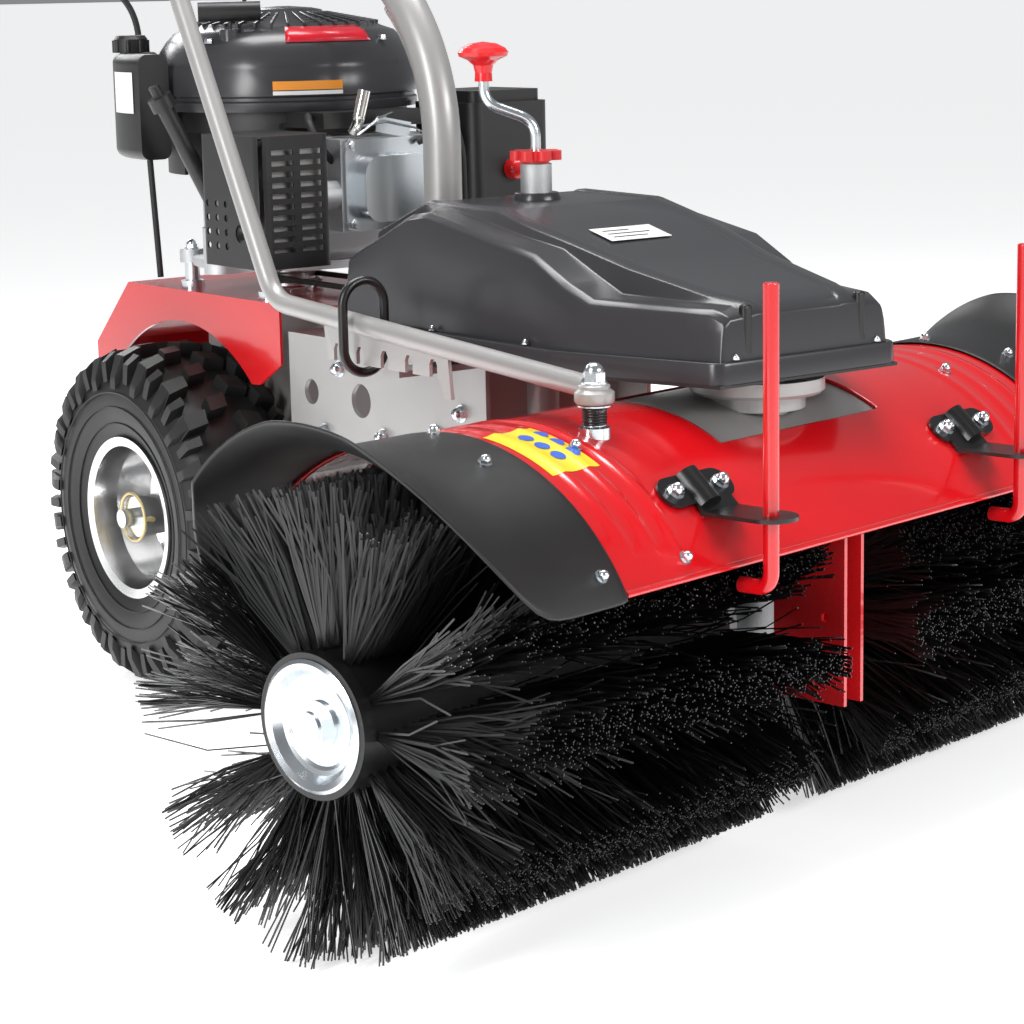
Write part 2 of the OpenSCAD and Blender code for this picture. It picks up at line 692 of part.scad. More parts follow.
module rod() color(grey) difference() {
    union() {
        chassis() {
            bar([rod_at[0], rod_at[1] + 12, rod_z(rod_at[1] + 12)], rod_knee, rod_d);
            bar(rod_knee, rod_up, rod_d - 0.2);
            bar(rod_up, rod_end, rod_d);
            knuckle(rod_knee, rod_knee - rod_at_eye, rod_d + 0.8);
            knuckle(rod_up, rod_up - rod_knee, rod_d + 0.8);
            difference() {
                side(rod_at[0] - 2, 4, [[152, 392], [157, rod_z(157) - bar_top], [352, rod_z(352) - bar_top],
                    [346, bar_low], [170, bar_low], [162, 392]]);
                for (a = [-20 : notch_step : 20]) {
                    y = loop_y + eye_y(head_turn) - eye_y(a);
                    block(rod_at[0] - 5, rod_at[0] + 5, y - notch_w / 2, y + notch_w / 2, bar_low - 5,
                        bar_low + notch_deep - notch_w / 2);
                    along_x(rod_at[0] - 5, y, bar_low + notch_deep - notch_w / 2, notch_w, 10);
                }
            }
        }
        at_rod_eye() translate([0, 0, 411]) cylinder(d = 34, h = 14.5);
    }
    at_rod_eye() translate([0, 0, 400]) cylinder(d = 14, h = 25.6);
}

module rod_grip() color(black) chassis() difference() {
    bar(rod_end - 118 * unit(rod_end - rod_up), rod_end + 6 * unit(rod_end - rod_up), rod_d + 9);
    bar(rod_end - 130 * unit(rod_end - rod_up), rod_end + 0.1 * unit(rod_end - rod_up), rod_d + 0.04);
}

module rod_washer() color(zinc) at_rod_eye() translate([0, 0, 408.6]) difference() {
    cylinder(d = 28, h = 1.2);
    translate([0, 0, -1]) cylinder(d = 10.5, h = 4);
}

hood_top_at_eye = shaft_z + sqrt(hood_out * hood_out - (rod_y - shaft_back) * (rod_y - shaft_back));

module eye_seat() head() difference() {
    translate([-rod_x, rod_y, hood_top_at_eye - 8]) cylinder(d = 26, h = 13.5);
    translate([-rod_x, rod_y, hood_top_at_eye - 9]) cylinder(d = 10.2, h = 20);
    along_x(-900, shaft_back, shaft_z, 2 * (hood_out + 0.15), 1800);
}

module eye_bolt() color(zinc) {
    eye_seat();
    at_rod_eye() {
        rod_spring();
        translate([0, 0, hood_top_at_eye - 6]) cylinder(d = 10, h = 437 - hood_top_at_eye + 6);
        translate([0, 0, 426.4]) cylinder(d = 22, h = 2);
        translate([0, 0, 428.4]) cylinder(d = 19, h = 8, $fn = 6);
        translate([0, 0, 436.4]) intersection() {
            sphere(d = 16);
            cylinder(d = 20, h = 10);
        }
    }
}

module rod_spring()
    for (i = [0 : 3])
        translate([0, 0, hood_top_at_eye + 7.5 + i * 4.0]) rotate_extrude() translate([8, 0]) circle(d = 3.6, $fn = 16);

// ---------------------------------------------------------------- height crank and support wheel
at_spindle_xy = [0, spindle_back];
screw_travel = 10;

module at_spindle() chassis() translate([0, spindle_back, 0]) children();

module spindle_sleeve() color([0.72, 0.72, 0.73]) at_spindle() difference() {
    union() {
        translate([0, 0, 549]) cylinder(d = sleeve_d, h = sleeve_top - 549);
        translate([0, 0, plate_top + 0.05]) cylinder(d = sleeve_foot, h = 549 - plate_top - 0.05);
    }
    translate([0, 0, plate_top - 1]) cylinder(d = 12, h = 200);
}

module star_knob() color(red) at_spindle() difference() {
    union() {
        translate([0, 0, sleeve_top + 0.4]) cylinder(d = 26, h = 3);
        translate([0, 0, sleeve_top + 3.4]) cylinder(d = 38, h = 9);
        for (a = [0 : 360 / 7 : 359])
            rotate([0, 0, a]) translate([18, 0, sleeve_top + 3.4]) cylinder(d = 14, h = 9, $fn = 24);
    }
    translate([0, 0, sleeve_top - 1]) cylinder(d = 10.5, h = 20);
}

crank_dir = [-0.8, 0.6, 0];
crank_arm = 48;

module crank_rod() color(zinc) at_spindle() {
    bent([[0, 0, 300], [0, 0, 616], crank_arm * crank_dir + [0, 0, 634], crank_arm * crank_dir + [0, 0, 688]], 12, 10);
}

module crank_knob() color(red) at_spindle() translate(crank_arm * crank_dir) difference() {
    translate([0, 0, 656]) rotate_extrude() polygon([[0, 0], [8.5, 0], [8, 8], [9.5, 15], [15, 20], [23, 23.5],
        [24, 27], [21, 31], [13, 35], [0, 37]]);
    translate([0, 0, 650]) cylinder(d = 10 + 2 * run, h = 38.3);
}

post_bot = 150;
jockey_z = jockey_d / 2;
jockey_trail = 20;
fork_in = jockey_w + 4;

module jack_post() color(zinc) at_spindle() difference() {
    union() {
        translate([0, 0, post_bot]) cylinder(d = stem_d, h = 385 - post_bot);
        translate([0, 0, post_bot]) cylinder(d = 44, h = 6);
    }
    translate([0, 0, post_bot + 60]) cylinder(d = 10.6, h = 300);
    translate([0, 0, post_bot - 1]) cylinder(d = 12 + 2 * run, h = 40);
}

module jockey_fork() color(grey) at_spindle() {
    translate([0, 0, post_bot - 12]) cylinder(d = 12, h = 44);
    translate([0, 0, post_bot - 8]) cylinder(d = 44, h = 7.6);
    block(-fork_in / 2 - 4, fork_in / 2 + 4, -20, 24, post_bot - 13, post_bot - 8);
    difference() {
        union() {
            mirrored_x() side(fork_in / 2, 4, [[-18, post_bot - 13], [24, post_bot - 13], [jockey_trail + 14, jockey_z - 4],
                [jockey_trail + 8, jockey_z - 14], [jockey_trail - 8, jockey_z - 14], [jockey_trail - 14, jockey_z - 4]]);
        }
        along_x(-60, jockey_trail, jockey_z, 10.04, 120);
    }
    along_x(-fork_in / 2 - 8, jockey_trail, jockey_z, 10, fork_in + 16);
    for (s = [0, 1]) mirror([s, 0, 0]) along_x(fork_in / 2 + 4.02, jockey_trail, jockey_z, 17, 6);
}

module jockey_wheel() color([0.08, 0.08, 0.08]) at_spindle() translate([0, jockey_trail, jockey_z])
    rotate([0, 90, 0]) difference() {
        rotate_extrude() polygon([[0, -fork_in / 2 + 0.5], [14, -fork_in / 2 + 0.5], [14, -jockey_w / 2 + 4],
            [34, -jockey_w / 2 + 4], [36, -jockey_w / 2], [jockey_d / 2 - 6, -jockey_w / 2],
            [jockey_d / 2, -jockey_w / 2 + 6], [jockey_d / 2, jockey_w / 2 - 6], [jockey_d / 2 - 6, jockey_w / 2],
            [36, jockey_w / 2], [34, jockey_w / 2 - 4], [14, jockey_w / 2 - 4], [14, fork_in / 2 - 0.5],
            [0, fork_in / 2 - 0.5]]);
        translate([0, 0, -40]) cylinder(d = 10 + 2 * run, h = 80);
    }

// ---------------------------------------------------------------- wheels
rim_half = 61;
bead_r = rim_d / 2 - 7;

module at_wheel(s) chassis() translate([s * track / 2, wheel_back, axle_z]) rotate([0, s * 90, 0]) children();

module both_wheels() for (s = [-1, 1]) at_wheel(s) children();

module rim_one() difference() {
    union() {
        rotate_extrude() polygon([[bead_r - 3, -rim_half + 2], [rim_d / 2, -rim_half], [rim_d / 2, -rim_half + 3],
            [bead_r, -rim_half + 5], [bead_r - 4, -30], [bead_r - 4, 30], [bead_r, rim_half - 5],
            [rim_d / 2, rim_half - 3], [rim_d / 2, rim_half], [bead_r - 3, rim_half - 2], [bead_r - 8, 32],
            [bead_r - 8, -10], [26, -16], [26, -22], [bead_r - 8, -16], [bead_r - 7, -30]]);
        translate([0, 0, -58]) cylinder(d = 44, h = 108);
    }
    translate([0, 0, -80]) cylinder(d = axle_d + 0.04, h = 160);
    for (a = [0 : 90 : 359])
        rotate([0, 0, a + 45]) translate([52, 0, -40]) cylinder(d = 14, h = 60);
    rotate([90, 0, 0]) translate([0, 44, -60]) cylinder(d = 6.04, h = 120);
}

module tyre_one() rotate_extrude() polygon([[bead_r + 0.05, -rim_half + 5.2], [rim_d / 2 + 0.4, -rim_half + 3.4],
    [rim_d / 2 + 3, -rim_half + 1],
    [rim_d / 2 + 20, -tyre_w / 2 + 2], [tyre_d / 2 - 40, -tyre_w / 2], [tyre_d / 2 - 14, -tyre_w / 2 + 6],
    [tyre_d / 2 - 3, -tyre_w / 2 + 22], [tyre_d / 2, -tyre_w / 2 + 44], [tyre_d / 2, tyre_w / 2 - 44],
    [tyre_d / 2 - 3, tyre_w / 2 - 22], [tyre_d / 2 - 14, tyre_w / 2 - 6], [tyre_d / 2 - 40, tyre_w / 2],
    [rim_d / 2 + 20, tyre_w / 2 - 2], [rim_d / 2 + 3, rim_half - 1], [rim_d / 2 + 0.4, rim_half - 3.4],
    [bead_r + 0.05, rim_half - 5.2],
    [bead_r + 0.05, rim_half - 14], [rim_d / 2 + 22, tyre_w / 2 - 12], [tyre_d / 2 - 30, tyre_w / 2 - 14],
    [tyre_d / 2 - 16, tyre_w / 2 - 30], [tyre_d / 2 - 16, -tyre_w / 2 + 30], [tyre_d / 2 - 30, -tyre_w / 2 + 14],
    [rim_d / 2 + 22, -tyre_w / 2 + 12], [bead_r + 0.05, -rim_half + 14]]);

module wheel_rims() color([0.76, 0.76, 0.77]) both_wheels() rim_one();
module tyres() color([0.07, 0.07, 0.07]) both_wheels() tyre_one();

module drive_axle() color(zinc) difference() {
    chassis() along_x(-track / 2 - 68, wheel_back, axle_z, axle_d, track + 136);
    both_wheels() rotate([90, 0, 0]) translate([0, 44, -60]) cylinder(d = 6.04, h = 120);
}

module lynch_pins() color([0.75, 0.62, 0.35]) both_wheels() {
    rotate([90, 0, 0]) translate([0, 44, -27]) cylinder(d = 6, h = 54);
    translate([0, -26, 44]) cylinder(d = 3.2, h = 9.5);
    translate([0, 0, 53.5]) rotate_extrude() translate([26, 0]) circle(d = 3.2, $fn = 16);
}

// ---------------------------------------------------------------- broom head
// Sector of a profile drawn as (radius, -x), turned about the broom shaft from angle lip
module about_shaft(lip, sweep) translate([0, shaft_back, shaft_z])
    rotate(eul([0, -cos(lip), sin(lip)], [0, sin(lip), cos(lip)], [-1, 0, 0]))
        rotate_extrude(angle = sweep) children();

// Places something radially on the hood: local Z points outward at angle a, at x, on radius r
module on_hood(x, a, r) translate([x, shaft_back - r * cos(a), shaft_z + r * sin(a)])
    rotate([90 - a, 0, 0]) children();

fender_bolts = [[-368, 70], [-343, 92], [-350, 34], [368, 70], [343, 92], [350, 34]];
hood_bolts = [[-262, 70], [-248, 33.6], [262, 70], [248, 33.6], [233, 93]];
bracket_a = 48.8;
bracket_x = 28.5;

module hood_sheet() difference() {
    union() {
        about_shaft(lip_front, 180 - lip_front - lip_rear) translate([hood_r, -hood_half]) square([hood_wall, hood_len]);
        for (x = [-304, -276, -248, 248, 276, 304])
            about_shaft(lip_front + 9, 145 - lip_front - lip_rear) translate([hood_out - 1, x - 5]) square([3, 10]);
        about_shaft(lip_front, 2) translate([hood_r, 1 - f0]) square([hood_wall + 4, 2 * f0 - 2]);
    }
    translate([-112, -48, 300]) cube([224, 160, 140]);
    for (b = fender_bolts)
        on_hood(b[0], b[1], hood_r - 20) cylinder(d = 6.4, h = 60);
    for (b = hood_bolts)
        on_hood(b[0], b[1], hood_r - 20) cylinder(d = 6.4, h = 60);
    for (s = [-1, 1])
        for (x = [-bracket_x, bracket_x])
            on_hood(s * (peg_x + 9) + x, bracket_a, hood_r - 20) cylinder(d = 8.4, h = 60);
    translate([-rod_x, rod_y, 340]) cylinder(d = 10.1, h = 60);
}

module hood() color(red) head() {
    hood_sheet();
    saddle();
}

f0 = hood_half - fender_lap;
f1 = half + 5;
fr = hood_out + 0.1;

module fender() difference() {
    about_shaft(lip_front - 2, 180 - lip_front - lip_rear + 8) polygon([[fr, f0], [fr, hood_half + 45],
        [fr + 2, hood_half + 66], [fr + 7, hood_half + 84], [fr + 16, f1 - 34], [fr + 26, f1 - 18], [fr + flare, f1 - 1],
        [fr + flare + 2, f1], [fr + flare + 3, f1 - 2], [fr + 29, f1 - 20], [fr + 19, f1 - 36], [fr + 10, hood_half + 82],
        [fr + fender_wall + 2, hood_half + 64], [fr + fender_wall, hood_half + 44], [fr + fender_wall, f0]]);
    for (m = [0, 1]) mirror([m, 0, 0]) {
        plan(0, 700, [[f1 - 74, -400], [f1 - 68, -120], [f1 - 30, -52], [f1 + 1, 6], [f1 + 40, 6], [f1 + 40, -400]]);
        plan(0, 700, [[f1 - 92, 400], [f1 - 88, 235], [f1 - 45, 190], [f1 + 1, 158], [f1 + 40, 158], [f1 + 40, 400]]);
        for (b = fender_bolts)
            if (b[0] > 0)
                on_hood(b[0], b[1], hood_r - 20) cylinder(d = 6.4, h = 60);
    }
}

module end_fenders() color(black) head() mirrored_x() fender();

module hood_bolt(x, a, r, d) on_hood(x, a, r) {
    dome_bolt(d);
    translate([0, 0, -12]) cylinder(d = d, h = 12.01);
}

module brush_gearbox() color([0.30, 0.30, 0.31]) head() {
    gear_case();
    swivel_spigot();
}

module head_bolts() color(zinc) head() {
    pivot_nut();
    for (b = fender_bolts)
        hood_bolt(b[0], b[1], fr + fender_wall + 0.05, 6);
    for (b = hood_bolts)
        hood_bolt(b[0], b[1], hood_out + 0.15, 6);
    for (s = [-1, 1])
        for (x = [-bracket_x, bracket_x])
            hood_bolt(s * (peg_x + 9) + x, bracket_a, hood_out + 4.1, 8);
}

tongue_z = 327;

module bracket_one(s) head() difference() {
    union() {
        translate([s * (peg_x + 9), 0, 0]) on_hood(0, bracket_a, hood_out + 1) {
            linear_extrude(3) {
                for (x = [-bracket_x, bracket_x]) translate([x, 1]) circle(r = 15);
                translate([-bracket_x, -14]) square([2 * bracket_x, 30]);
                translate([-s * 9 - 22, -27]) square([44, 20]);
            }
            intersection() {
                translate([0, 16, 0]) rotate([90, 0, 0]) cylinder(d = 25, h = 34);
                translate([-20, -30, 0]) cube([40, 60, 20]);
            }
        }
        translate([s * peg_x, 0, tongue_z]) linear_extrude(3.2) {
            translate([0, -154]) circle(r = 22);
            translate([-22, -154]) square([44, 56]);
        }
    }
    along_x(-900, shaft_back, shaft_z, 2 * (hood_out + 0.1), 1800);
    translate([s * peg_x, -154, 300]) cylinder(d = peg_d + 0.04, h = 60);
    for (x = [-bracket_x, bracket_x])
        on_hood(s * (peg_x + 9) + x, bracket_a, hood_r) cylinder(d = 8.4, h = 30);
}

module peg_brackets() color(black) for (s = [-1, 1]) bracket_one(s);

peg_seat = tongue_z + 4;

module peg(s) head() translate([s * peg_x, -154, 0]) {
    translate([0, 0, peg_seat]) cylinder(d = peg_d, h = peg_top - peg_seat);
    translate([0, 0, 276]) cylinder(d = peg_d - 0.4, h = peg_seat - 275.9);
    bar([0, 0, 282.5], [0, 15, 267.5], peg_d - 0.8);
    translate([0, 8, 270.5]) rotate([-90, 0, 0]) cylinder(d = peg_d - 0.4, h = 22);
}

module pegs() color(red) for (s = [-1, 1]) peg(s);

module saddle() difference() {
    about_shaft(52, 66) translate([hood_r - 3, -128]) square([3.5, 256]);
    translate([0, 0, 300]) cylinder(d = neck_drum + 8, h = 140);
}

worm_d = 64;
case_d = 104;

module gear_case() difference() {
    union() {
        along_x(-42, shaft_back, shaft_z, case_d, 84);
        translate([0, 0, 150]) cylinder(d = worm_d, h = 206);
        translate([0, 0, 346]) cylinder(d = 76, h = 20);
        for (a = [0 : 60 : 359])
            rotate([0, 0, a]) translate([33, 0, 334]) cylinder(d = 9, h = 12);
    }
    along_x(-18, shaft_back, shaft_z, 80, 36);
    along_x(-60, shaft_back, shaft_z, shaft_d + 2 * run, 120);
    translate([0, 0, 160]) cylinder(d = 34, h = 300);
}

module swivel_spigot() difference() {
    union() {
        translate([0, 0, 365]) cylinder(d = 56, h = neck_z - 365 - 0.3);
        translate([0, 0, 370]) cylinder(d = neck_bore, h = flange_top + 5 - 370);
    }
    translate([0, 0, 360]) cylinder(d = 20 + 2 * run, h = 80);
}

module pivot_nut() difference() {
    translate([0, 0, flange_top + 0.4]) cylinder(d = 58, h = 4, $fn = 8);
    translate([0, 0, flange_top - 1]) cylinder(d = neck_bore + 0.04, h = 10);
}

module centre_plates() color(red) head() difference() {
    union() {
        intersection() {
            mirrored_x() side(10, 4, [[-104, 129], [-20, 129], [-20, 345], [-34, 371], [-70, 349], [-104, 317.5]]);
            along_x(-60, shaft_back, shaft_z, 2 * (hood_r - 3.2), 120);
        }
        block(-10, 10, -62, -40, 210, 240);
        block(-10, 10, -62, -44, 150, 160);
    }
    translate([0, 0, 100]) cylinder(d = worm_d + 0.1, h = 246);
    translate([0, 0, 330]) cylinder(d = 76.1, h = 100);
    along_x(-60, -84, 205, 9, 120);
}

module brush_shaft() color(zinc) head() {
    along_x(-half - 2, shaft_back, shaft_z, shaft_d, 2 * half + 4);
    along_x(-12, shaft_back, shaft_z, 68, 24);
    for (s = [0, 1]) mirror([s, 0, 0]) {
        along_x(half - 11.7, shaft_back, shaft_z, 38, 3);
        translate([half - 8.8, shaft_back, shaft_z]) rotate([0, 90, 0]) cylinder(d = 34, h = 8.8, $fn = 6);
    }
}

core_x0 = broom_gap / 2 + 0.5;
core_x1 = half - 14;
tuft_rows = 12;

module broom_cores() color(black) head() mirrored_x() {
    difference() {
        along_x(core_x0, shaft_back, shaft_z, core_d, core_x1 - core_x0);
        along_x(core_x0 - 1, shaft_back, shaft_z, core_d - 14, core_x1 - core_x0 - 60);
        along_x(0, shaft_back, shaft_z, shaft_d + 0.04, half);
    }
    disc_rim();
}

// Rows of tufts along the core: each stands for the space its bristles fill
module bristle_rows() translate([core_x0 + 2, shaft_back, shaft_z]) rotate([90, 0, 90]) intersection() {
    cylinder(d = brush_d, h = core_x1 - core_x0 - 6, $fn = 96);
    for (i = [0 : tuft_rows - 1])
        rotate([0, 0, i * 360 / tuft_rows - 90]) linear_extrude(core_x1 - core_x0 - 6)
            polygon([[core_d / 2 + 0.4, -1.5], [brush_r + 5, -6], [brush_r + 5, 6], [core_d / 2 + 0.4, 1.5]]);
}

module bristles() color([0.04, 0.04, 0.04]) head() mirrored_x() bristle_rows();

module end_disc() translate([half - 14 + 0.02, shaft_back, shaft_z]) rotate([0, 90, 0]) difference() {
    rotate_extrude() polygon([[0, 0], [disc_d / 2, 0], [disc_d / 2, 12], [disc_d / 2 - 3, 14], [disc_d / 2 - 8, 12],
        [disc_d / 2 - 13, 5], [disc_d / 2 - 17, 4], [disc_d / 2 - 20, 2.2], [0, 2.2]]);
    translate([0, 0, -1]) cylinder(d = shaft_d + 0.04, h = 30);
}

module disc_rim() translate([half - 14.5, shaft_back, shaft_z]) rotate([0, 90, 0]) difference() {
    cylinder(d = disc_d + 10, h = 11.5);
    translate([0, 0, 0.5]) cylinder(d = disc_d + 0.06, h = 20);
    translate([0, 0, -1]) cylinder(d = shaft_d + 0.04, h = 20);
}

module end_discs() color(zinc) head() mirrored_x() end_disc();

// ---------------------------------------------------------------- pieces made of several like solids
module chassis_bolts() {
    cover_screws();
    frame_screws();
    engine_studs();
}

module control_clamps() color(black) {
    lever_clamps();
    throttle_clamp();
}

module control_cables() color(black) {
    drive_cable();
    broom_cable();
    throttle_cable();
}

module handle_column() color(grey) {
    column_pipe();
    column_strip();
}

module air_filter() color(black) {
    filter_box();
    carburettor();
}

main_frame();
swivel_neck();
belt_pan();
belt_cover();
chassis_bolts();
rear_body();
transaxle();
crankcase();
cylinder_block();
valve_cover();
blower_housing();
shroud_top();
fuel_tank();
muffler();
muffler_guard();
oil_filler_tube();
spark_plug_boot();
air_filter();
drive_belt();
spindle_sleeve();
guide_loop();
handle_column();
handlebar();
grips();
control_clamps();
control_cables();
fuel_cap();
dipstick();
primer_bulb();
starter_grip();
engine_pulley();
input_shaft();
drive_lever();
broom_lever();
throttle_lever();
crank_rod();
crank_knob();
star_knob();
jack_post();
jockey_fork();
jockey_wheel();
wheel_rims();
tyres();
drive_axle();
lynch_pins();
hood();
end_fenders();
peg_brackets();
pegs();
brush_gearbox();
centre_plates();
head_bolts();
eye_bolt();
rod_washer();
rod();
rod_grip();
brush_shaft();
broom_cores();
bristles();
end_discs();
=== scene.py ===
"""Looks of a walk-behind power sweeper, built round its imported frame.

Lengths are in millimetres until a piece is seated. Two places are used: the chassis, measured
from the swivel axis on the floor, and the broom head, which is turned about that axis.
"""

import json
import logging
import math
import random
from dataclasses import dataclass
from enum import Enum

import bpy  # noqa: E402
import numpy as np  # noqa: E402
from mathutils import Matrix, Vector  # noqa: E402

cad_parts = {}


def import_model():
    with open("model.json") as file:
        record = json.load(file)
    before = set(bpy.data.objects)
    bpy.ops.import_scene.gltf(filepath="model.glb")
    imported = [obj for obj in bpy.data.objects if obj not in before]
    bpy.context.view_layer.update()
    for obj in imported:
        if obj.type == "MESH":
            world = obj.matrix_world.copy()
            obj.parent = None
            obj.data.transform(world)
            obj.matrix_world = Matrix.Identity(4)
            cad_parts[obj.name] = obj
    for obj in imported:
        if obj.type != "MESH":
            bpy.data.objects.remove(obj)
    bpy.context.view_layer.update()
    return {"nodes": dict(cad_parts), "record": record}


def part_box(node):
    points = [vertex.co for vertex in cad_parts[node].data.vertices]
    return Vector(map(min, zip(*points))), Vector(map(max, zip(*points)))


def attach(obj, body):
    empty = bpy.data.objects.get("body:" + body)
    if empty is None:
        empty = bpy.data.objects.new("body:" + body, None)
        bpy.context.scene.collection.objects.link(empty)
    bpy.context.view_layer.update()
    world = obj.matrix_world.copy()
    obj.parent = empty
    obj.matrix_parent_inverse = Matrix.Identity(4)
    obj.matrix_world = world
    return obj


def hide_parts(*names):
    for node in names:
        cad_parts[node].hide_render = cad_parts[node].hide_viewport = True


LOG = logging.getLogger("sweeper")
Point = tuple[float, float, float]
MM = 0.001


class Place(Enum):
    """Which set of axes a piece is drawn in."""

    CHASSIS = "chassis"
    HEAD = "head"


class Body(Enum):
    """The moving bodies that added pieces ride on."""

    CHASSIS = "chassis"
    HEAD = "head"
    BROOM = "broom"
    WHEELS = "wheels"
    ROD = "adjusting_rod"
    CRANK = "crank"


@dataclass(frozen=True)
class Finish:
    """A procedural surface: base colour, gloss, and how grain, mottling and wear vary it."""

    name: str
    colour: Point
    metallic: float = 0.0
    roughness: float = 0.4
    coat: float = 0.0
    grain: float = 900.0
    bump: float = 0.05
    mottle: float = 0.12
    wear: float = 0.0
    worn: Point = (0.5, 0.5, 0.5)
    stretch: Point = (1.0, 1.0, 1.0)
    specular: float = 0.5

    def build(self) -> bpy.types.Material:
        """Makes the material, or returns it if it is already made.

        Returns:
            The material of this finish.
        """
        known = bpy.data.materials.get(self.name)
        if known is not None:
            return known
        material = bpy.data.materials.new(self.name)
        material.use_nodes = True
        tree = material.node_tree
        shader = tree.nodes["Principled BSDF"]
        shader.inputs["Metallic"].default_value = self.metallic
        shader.inputs["Coat Weight"].default_value = self.coat
        shader.inputs["Coat Roughness"].default_value = 0.08
        shader.inputs["Specular IOR Level"].default_value = self.specular
        place = tree.nodes.new("ShaderNodeTexCoord")
        mapping = tree.nodes.new("ShaderNodeMapping")
        mapping.inputs["Scale"].default_value = self.stretch
        tree.links.new(place.outputs["Object"], mapping.inputs["Vector"])
        broad = self._noise(tree, mapping, 14.0, 4.0)
        fine = self._noise(tree, mapping, self.grain, 2.0)
        tint = tree.nodes.new("ShaderNodeMix")
        tint.data_type = "RGBA"
        dark = tuple(c * (1.0 - self.mottle) for c in self.colour)
        light = tuple(min(1.0, c * (1.0 + self.mottle)) for c in self.colour)
        tint.inputs["A"].default_value = (*dark, 1.0)
        tint.inputs["B"].default_value = (*light, 1.0)
        tree.links.new(broad.outputs["Fac"], tint.inputs["Factor"])
        surface = tint.outputs["Result"]
        if self.wear > 0.0:
            surface = self._worn_edges(tree, surface, fine)
        tree.links.new(surface, shader.inputs["Base Color"])
        gloss = tree.nodes.new("ShaderNodeMapRange")
        gloss.inputs["To Min"].default_value = max(0.02, self.roughness * 0.82)
        gloss.inputs["To Max"].default_value = min(1.0, self.roughness * 1.22)
        tree.links.new(broad.outputs["Fac"], gloss.inputs["Value"])
        tree.links.new(gloss.outputs["Result"], shader.inputs["Roughness"])
        relief = tree.nodes.new("ShaderNodeBump")
        relief.inputs["Strength"].default_value = self.bump
        relief.inputs["Distance"].default_value = 0.0006
        tree.links.new(fine.outputs["Fac"], relief.inputs["Height"])
        tree.links.new(relief.outputs["Normal"], shader.inputs["Normal"])
        return material

    def _noise(self, tree: bpy.types.NodeTree, mapping: bpy.types.Node, scale: float, detail: float) -> bpy.types.Node:
        """Adds a noise texture.

        Args:
            tree: The material's nodes.
            mapping: The node that gives the place.
            scale: How fine the noise is, per metre.
            detail: How many octaves it has.

        Returns:
            The noise node.
        """
        noise = tree.nodes.new("ShaderNodeTexNoise")
        noise.inputs["Scale"].default_value = scale
        noise.inputs["Detail"].default_value = detail
        tree.links.new(mapping.outputs["Vector"], noise.inputs["Vector"])
        return noise

    def _worn_edges(self, tree: bpy.types.NodeTree, surface: bpy.types.NodeSocket,
                    fine: bpy.types.Node) -> bpy.types.NodeSocket:
        """Lightens the edges where use rubs the surface.

        Args:
            tree: The material's nodes.
            surface: The colour so far.
            fine: The fine noise, which breaks the edge up.

        Returns:
            The socket of the worn colour.
        """
        shape = tree.nodes.new("ShaderNodeNewGeometry")
        edge = tree.nodes.new("ShaderNodeMapRange")
        edge.inputs["From Min"].default_value = 0.53
        edge.inputs["From Max"].default_value = 0.62
        edge.inputs["To Max"].default_value = self.wear
        tree.links.new(shape.outputs["Pointiness"], edge.inputs["Value"])
        patch = tree.nodes.new("ShaderNodeMath")
        patch.operation = "MULTIPLY"
        tree.links.new(edge.outputs["Result"], patch.inputs[0])
        tree.links.new(fine.outputs["Fac"], patch.inputs[1])
        mix = tree.nodes.new("ShaderNodeMix")
        mix.data_type = "RGBA"
        mix.inputs["B"].default_value = (*self.worn, 1.0)
        tree.links.new(patch.outputs["Value"], mix.inputs["Factor"])
        tree.links.new(surface, mix.inputs["A"])
        return mix.outputs["Result"]


